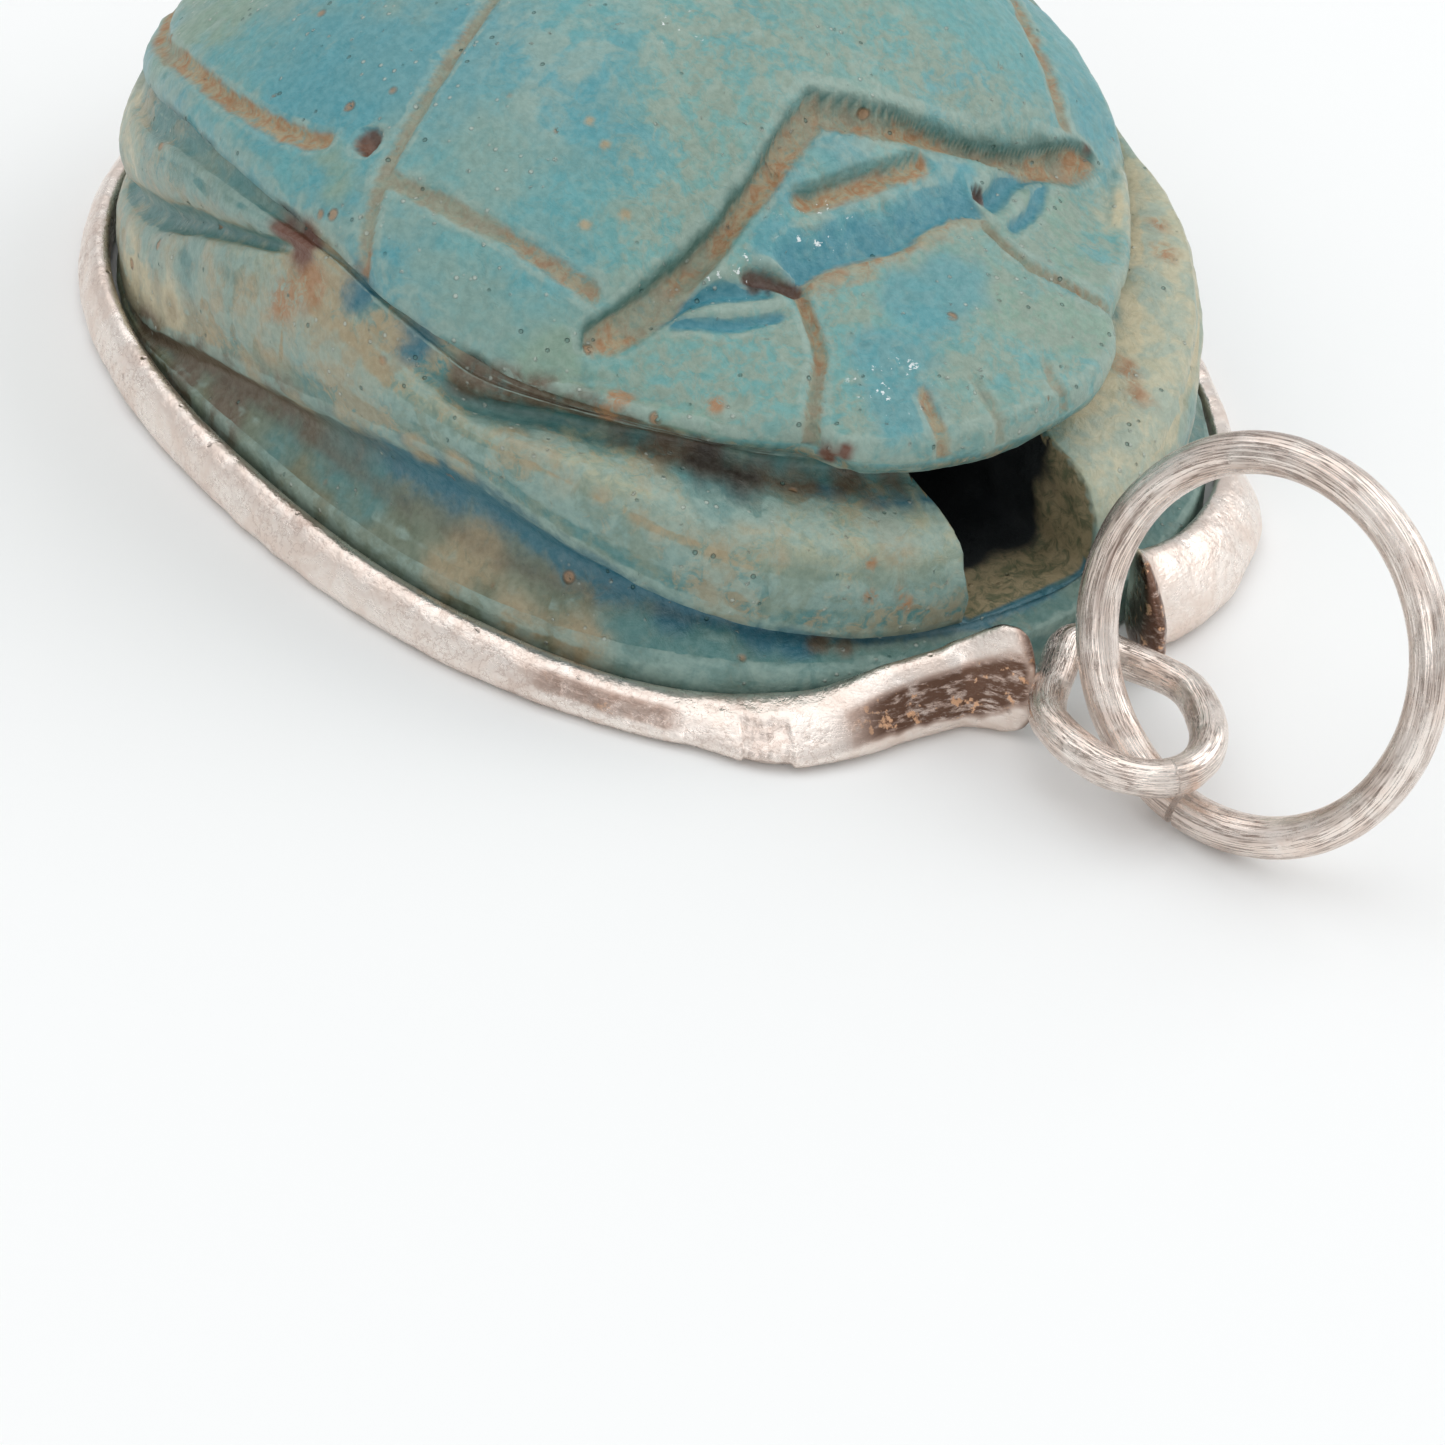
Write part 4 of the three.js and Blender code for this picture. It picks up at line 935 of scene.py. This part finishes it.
def makeBand(material):
    start, end = math.radians(band["left"]), 2 * math.pi - math.radians(band["right"])
    share, around = np.linspace(0, 1, band["steps"]), band["around"]
    angles = start + (end - start) * (share - band["crowding"] * np.sin(2 * np.pi * share) / (2 * np.pi))
    points, outs = [], []
    for angle in angles:
        reach, corners = bandSection(np.array(angle))
        loop = roundLoop(corners, around)[::-1]
        middle = loop.mean(0)
        toEnd = min(angle - start, end - angle) * reach / band["noseLength"]
        nose = math.sqrt(1 - (1 - min(1, float(toEnd) + 0.06)) ** 2)
        loop = middle + (loop - middle) * mix(band["noseEnd"], 1, nose)
        towards = np.array([math.cos(angle), math.sin(angle)])
        points.append(np.column_stack([(reach + loop[:, 0])[:, None] * towards, loop[:, 1]]))
        away = loop - middle
        away /= np.linalg.norm(away, axis=1)[:, None]
        outs.append(np.column_stack([away[:, :1] * towards, away[:, 1]]))
    points, outs = np.concatenate(points), np.concatenate(outs)
    angle = np.repeat(angles, around)
    outwards = outs[:, 0] * np.cos(angle) + outs[:, 1] * np.sin(angle)
    outer = smooth(0.0, 0.6, outwards)
    dents = 0.045 * lumps(points, 2.3, 81) + 0.018 * lumps(points, 0.6, 85)
    ends = smooth(0, 6, np.degrees(np.minimum(angle - start, end - angle)))
    solder = (1 - ends) * 0.05 * lumps(points, 0.5, 91)

    # the square punch and its slanted strokes
    tangent = (np.degrees(angle) - 360 - punch["angle"]) * math.radians(1) * punch["reach"]
    height = points[:, 2] - punch["height"]
    square = smooth(punch["half"], punch["half"] - 0.08, np.maximum(np.abs(tangent), np.abs(height)))
    strokes = 0
    for across, up, half in punch["strokes"]:
        beside = np.abs(tangent - across - punch["slant"] * (height - up))
        stroke = smooth(punch["width"] + 0.05, punch["width"], beside)
        strokes = strokes + stroke * smooth(half + 0.04, half, np.abs(height - up))
    struck = punch["depth"] * square - punch["strokeDepth"] * square * np.clip(strokes, 0, 1)
    move = (dents + solder - outer * struck) * np.where(outwards < -0.3, 0.3, 1.0)
    points = points + outs * move[:, None]
    points[:, 2] = np.clip(points[:, 2], 0.02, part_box("silver_band")[1][2] / mm - 0.005)
    faces = [tuple(f) for f in gridFaces(band["steps"], around)]
    middles = [points[:around].mean(0), points[-around:].mean(0)]
    first, last = len(points), len(points) - around
    faces += [(first, (j + 1) % around, j) for j in range(around)]
    faces += [(first + 1, last + j, last + (j + 1) % around) for j in range(around)]
    piece = newPiece("silverBand", np.vstack([points, middles]) * mm, faces, material)
    fixNormals(piece)

    # where it is darker: beside the near end and further back, painted reflection of the dark scarab over
    # tarnished silver; at both soldered ends, tarnished silver
    left, right = np.degrees(angle), 360 - np.degrees(angle)
    share = points[:, 2] / (along(band["top"], np.abs(right)) + along(band["rightRise"], np.abs(right)))
    share = share + 0.1 * lumps(points, 0.8, 95)
    dark = smooth(6.2, 7.6, right) * smooth(25, 14, right) * smooth(0.2, 0.42, share)
    dark = np.maximum(dark, 0.5 * smooth(32, 36, right) * smooth(51, 44, right) * smooth(0.35, 0.55, share))
    ends = np.maximum(smooth(8.2, 6.4, left + 0.5 * lumps(points, 0.5, 99)), 0.6 * smooth(8, 6.4, right))
    ends = ends * smooth(-0.2, 0.3, 1 - outer + 0.6 * smooth(7.4, 6.2, left))
    store(piece, "dark", np.append(np.maximum(dark * outer, ends), [1, 1]))
    store(piece, "punched", np.append(square * outer, [0, 0]))
    return piece


# the darkest colour is tarnished silver and also painted reflection on the band; the orange one is painted
# glints
silverColours = {"bright": (0.96, 0.875, 0.81), "warm": (0.86, 0.73, 0.65), "dull": (0.5, 0.37, 0.31),
                 "tarnishAndReflection": (0.15, 0.085, 0.06), "orangeGlint": (0.75, 0.45, 0.28)}


def silverMaterial(name, drawn=False):
    f = Finish(name, Metallic=1.0)
    c = silverColours
    broad, mid, small = f.noise(3.4, 4, 0.6, 0.5), f.noise(1.0, 5, 0.65, 0.4), f.noise(0.28, 5, 0.6)
    colour = f.blend(mid.span(0.35, 0.65), c["bright"], c["warm"])
    if drawn:
        wire = f.attribute("wirePlace", "Vector")
        streaks, fine = (f.make("ShaderNodeTexNoise", {}, {"Vector": wire, "Scale": scale, "Detail": detail,
                                                           "Roughness": 0.6})
                         for scale, detail in ((1.0, 4.0), (3.2, 3.0)))
        lines = fine.span(0.47, 0.5) * fine.span(0.55, 0.515)  # thin dark die lines along the wire
        colour = f.coats(colour, (streaks.span(0.48, 0.64) * 0.25, c["dull"]),
                         (lines * mid.span(0.4, 0.55, 0.1, 0.6), c["tarnishAndReflection"]),
                         (streaks.span(0.62, 0.72) * mid.span(0.45, 0.6, 0.0, 0.6), c["tarnishAndReflection"]),
                         (broad.span(0.56, 0.68) * fine.span(0.4, 0.6) * 0.45, c["tarnishAndReflection"]))
        matt = (streaks * 0.3 + small * 0.2).span(0.1, 0.5, 0.2, 0.4)
        normal = f.bump(streaks * 0.8 + fine * 0.5 + small * 0.25 - lines * 0.4, 0.035)
    else:
        dark, punched = f.attribute("dark"), f.attribute("punched")
        scratches = f.noise(0.35, 4, 0.7, 0.2, f.stretched(f.place, (1.0, 1.0, 3.5)))
        darkest = dark.span(0.3, 0.75)
        pits = f.cells(0.5).span(0.17, 0.07) * mid.span(0.45, 0.6)
        squiggles = small.span(0.47, 0.49) * small.span(0.53, 0.505) * broad.span(0.4, 0.55)
        colour = f.coats(colour, (broad.span(0.58, 0.7) * mid.span(0.42, 0.58) * 0.6, c["dull"]),
                         # darker zones: painted reflection of the scarab over tarnished silver, with painted
                         # orange glints in the darkest part
                         (dark.span(0.1, 0.45) * mid.span(0.3, 0.6, 0.6, 1.0), c["dull"]),
                         (darkest * (scratches * 0.6 + mid * 0.4).span(0.4, 0.52), c["tarnishAndReflection"]),
                         (darkest * small.span(0.58, 0.64), c["orangeGlint"]),
                         (punched * small.span(0.3, 0.55, 0.1, 0.4), c["dull"]),
                         (pits * 0.6, c["tarnishAndReflection"]), (squiggles * 0.4, c["dull"]))
        matt = (scratches * 0.35 + mid * 0.25).span(0.15, 0.5, 0.22, 0.42)
        normal = f.bump(scratches * 0.5 + small * 0.5 + mid * 0.6 - pits * 0.8, 0.05)
    f.connect(Base_Color=colour, Roughness=matt, Normal=normal)
    return f.material


silverBand = makeBand(silverMaterial("wornSilverSheet"))
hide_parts("silver_band")
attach(silverBand, "root")
print("band bent:", len(silverBand.data.polygons), "faces")


# Round wire swept along a path, for the soldered loop and the split ring

def wireTree():
    tree = bpy.data.node_groups.new("roundWire", "GeometryNodeTree")
    face = tree.interface
    face.new_socket("Path", in_out="INPUT", socket_type="NodeSocketGeometry")
    defaults = {"Wire Radius": 0.4 * mm, "Length Steps": 400, "Sides": 40, "Dent Size": 1.0 * mm,
                "Dent Depth": 0.02 * mm, "Line Length": 2.5 * mm}
    for name, value in defaults.items():
        kind = "NodeSocketInt" if isinstance(value, int) else "NodeSocketFloat"
        face.new_socket(name, in_out="INPUT", socket_type=kind).default_value = value
    face.new_socket("Finish", in_out="INPUT", socket_type="NodeSocketMaterial")
    face.new_socket("Wire", in_out="OUTPUT", socket_type="NodeSocketGeometry")
    nodes, links = tree.nodes, tree.links
    given, result = nodes.new("NodeGroupInput").outputs, nodes.new("NodeGroupOutput")

    def add(kind, settings, **inputs):
        node = nodes.new(kind)
        for key, value in settings.items():
            setattr(node, key, value)
        for key, value in inputs.items():  # n0 and n1 are the first and the second input
            socket = node.inputs[int(key[1:]) if key in ("n0", "n1") else key.replace("_", " ")]
            if hasattr(value, "is_output"):
                links.new(value, socket)
            else:
                socket.default_value = value
        return node.outputs

    def maths(operation, first, second=0.0):
        return add("ShaderNodeMath", {"operation": operation}, n0=first, n1=second)[0]

    def stored(kind, **inputs):
        settings = {"data_type": kind, "domain": "POINT"}
        return add("GeometryNodeStoreNamedAttribute", settings, **inputs)["Geometry"]

    def named(name):
        return add("GeometryNodeInputNamedAttribute", {"data_type": "FLOAT"}, Name=name)["Attribute"]

    even = add("GeometryNodeResampleCurve", {"mode": "COUNT"}, Curve=given["Path"],
               Count=given["Length Steps"])
    run = add("GeometryNodeSplineParameter", {})
    measured = stored("FLOAT", Geometry=even["Curve"], Name="run", Value=run["Length"])
    circle = add("GeometryNodeCurvePrimitiveCircle", {"mode": "RADIUS"}, Resolution=given["Sides"],
                 Radius=given["Wire Radius"])
    marked = stored("FLOAT", Geometry=circle["Curve"], Name="way", Value=run["Factor"])
    swept = add("GeometryNodeCurveToMesh", {}, Curve=measured, Profile_Curve=marked, Fill_Caps=True)
    angle = maths("MULTIPLY", named("way"), 2 * math.pi)
    place = add("ShaderNodeCombineXYZ", {}, X=maths("COSINE", angle), Y=maths("SINE", angle),
                Z=maths("DIVIDE", named("run"), given["Line Length"]))[0]
    spread = add("ShaderNodeVectorMath", {"operation": "MULTIPLY"}, n0=place, n1=(2.2, 2.2, 1.0))[0]
    placed = stored("FLOAT_VECTOR", Geometry=swept["Mesh"], Name="wirePlace", Value=spread)
    where = add("GeometryNodeInputPosition", {})["Position"]
    dents = add("ShaderNodeTexNoise", {}, Vector=where, Detail=2.0,
                Scale=maths("DIVIDE", 1.0, given["Dent Size"]))
    depth = maths("MULTIPLY", maths("SUBTRACT", dents[0], 0.56), given["Dent Depth"])
    facing = add("GeometryNodeInputNormal", {})["Normal"]
    shift = add("ShaderNodeVectorMath", {"operation": "SCALE"}, n0=facing, Scale=depth)[0]
    moved = add("GeometryNodeSetPosition", {}, Geometry=placed, Offset=shift)
    shaded = add("GeometryNodeSetShadeSmooth", {}, n0=moved["Geometry"])
    real = add("GeometryNodeRealizeInstances", {}, n0=shaded[0])
    painted = add("GeometryNodeSetMaterial", {}, Geometry=real["Geometry"], Material=given["Finish"])
    links.new(painted["Geometry"], result.inputs["Wire"])
    return tree


def makeWire(name, path, closed, values, material):
    line = bpy.data.curves.new(name + "Path", "CURVE")
    line.dimensions = "3D"
    spline = line.splines.new("POLY")
    spline.points.add(len(path) - 1)
    spline.points.foreach_set("co", np.column_stack([path * mm, np.ones(len(path))]).ravel())
    spline.use_cyclic_u = closed
    piece = bpy.data.objects.new(name + "Path", line)
    bpy.context.scene.collection.objects.link(piece)
    sweep = piece.modifiers.new("roundWire", "NODES")
    sweep.node_group = wire
    for socket in wire.interface.items_tree:
        if socket.name in values:
            sweep[socket.identifier] = values[socket.name]
        if socket.name == "Finish":
            sweep[socket.identifier] = material
    bpy.context.view_layer.update()
    shape = bpy.data.meshes.new_from_object(piece.evaluated_get(bpy.context.evaluated_depsgraph_get()))
    bpy.data.objects.remove(piece)
    made = bpy.data.objects.new(name, shape)
    bpy.context.scene.collection.objects.link(made)
    fixNormals(made)
    return made


wire = wireTree()
loop = {"centre": (15.3, -0.785, 1.343), "halfLength": 2.08, "halfWidth": 1.4, "turn": -15.7, "pinch": 0.5,
        "points": 160, "sweep": {"Wire Radius": 0.36 * mm, "Length Steps": 320, "Sides": 44,
                                 "Dent Size": 1.2 * mm, "Dent Depth": 0.1 * mm, "Line Length": 3.2 * mm}}
ring = {"centre": (17.4, 0.307, 3.598), "normal": (0.181, -0.921, 0.345), "radius": 3.4, "splitAngle": 277,
        "splitGap": 0.14,
        "points": 240, "sweep": {"Wire Radius": 0.385 * mm, "Length Steps": 520, "Sides": 48,
                                 "Dent Size": 1.6 * mm, "Dent Depth": 0.05 * mm, "Line Length": 6.5 * mm}}


def loopPath():
    angle = np.linspace(0, 2 * np.pi, loop["points"], endpoint=False)
    pinch = 1 - loop["pinch"] * smooth(0, 1, -np.cos(angle))
    x, y = loop["halfLength"] * np.cos(angle), loop["halfWidth"] * np.sin(angle) * pinch
    turn = math.radians(loop["turn"])
    c, s = math.cos(turn), math.sin(turn)
    return np.array(loop["centre"]) + np.stack([x * c - y * s, x * s + y * c, 0 * x], 1)


def ringPath():
    normal = Vector(ring["normal"]).normalized()
    level = normal.cross(Vector((0, 0, 1))).normalized()
    upward = level.cross(normal)
    gap = ring["splitGap"] / ring["radius"]
    share = np.linspace(0, 1, ring["points"])[:, None]
    angle = math.radians(ring["splitAngle"]) + gap / 2 + share * (2 * math.pi - gap)
    return np.array(ring["centre"]) + ring["radius"] * (np.cos(angle) * np.array(level)
                                                        + np.sin(angle) * np.array(upward))


drawnSilver = silverMaterial("drawnSilverWire", drawn=True)
bail = makeWire("bailLoop", loopPath(), True, loop["sweep"], drawnSilver)
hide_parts("bail_loop")
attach(bail, "root")
hoop = makeWire("jumpRing", ringPath(), False, ring["sweep"], drawnSilver)
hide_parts("jump_ring")
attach(hoop, "root")
print("loop and ring drawn:", len(bail.data.polygons), "and", len(hoop.data.polygons), "faces")
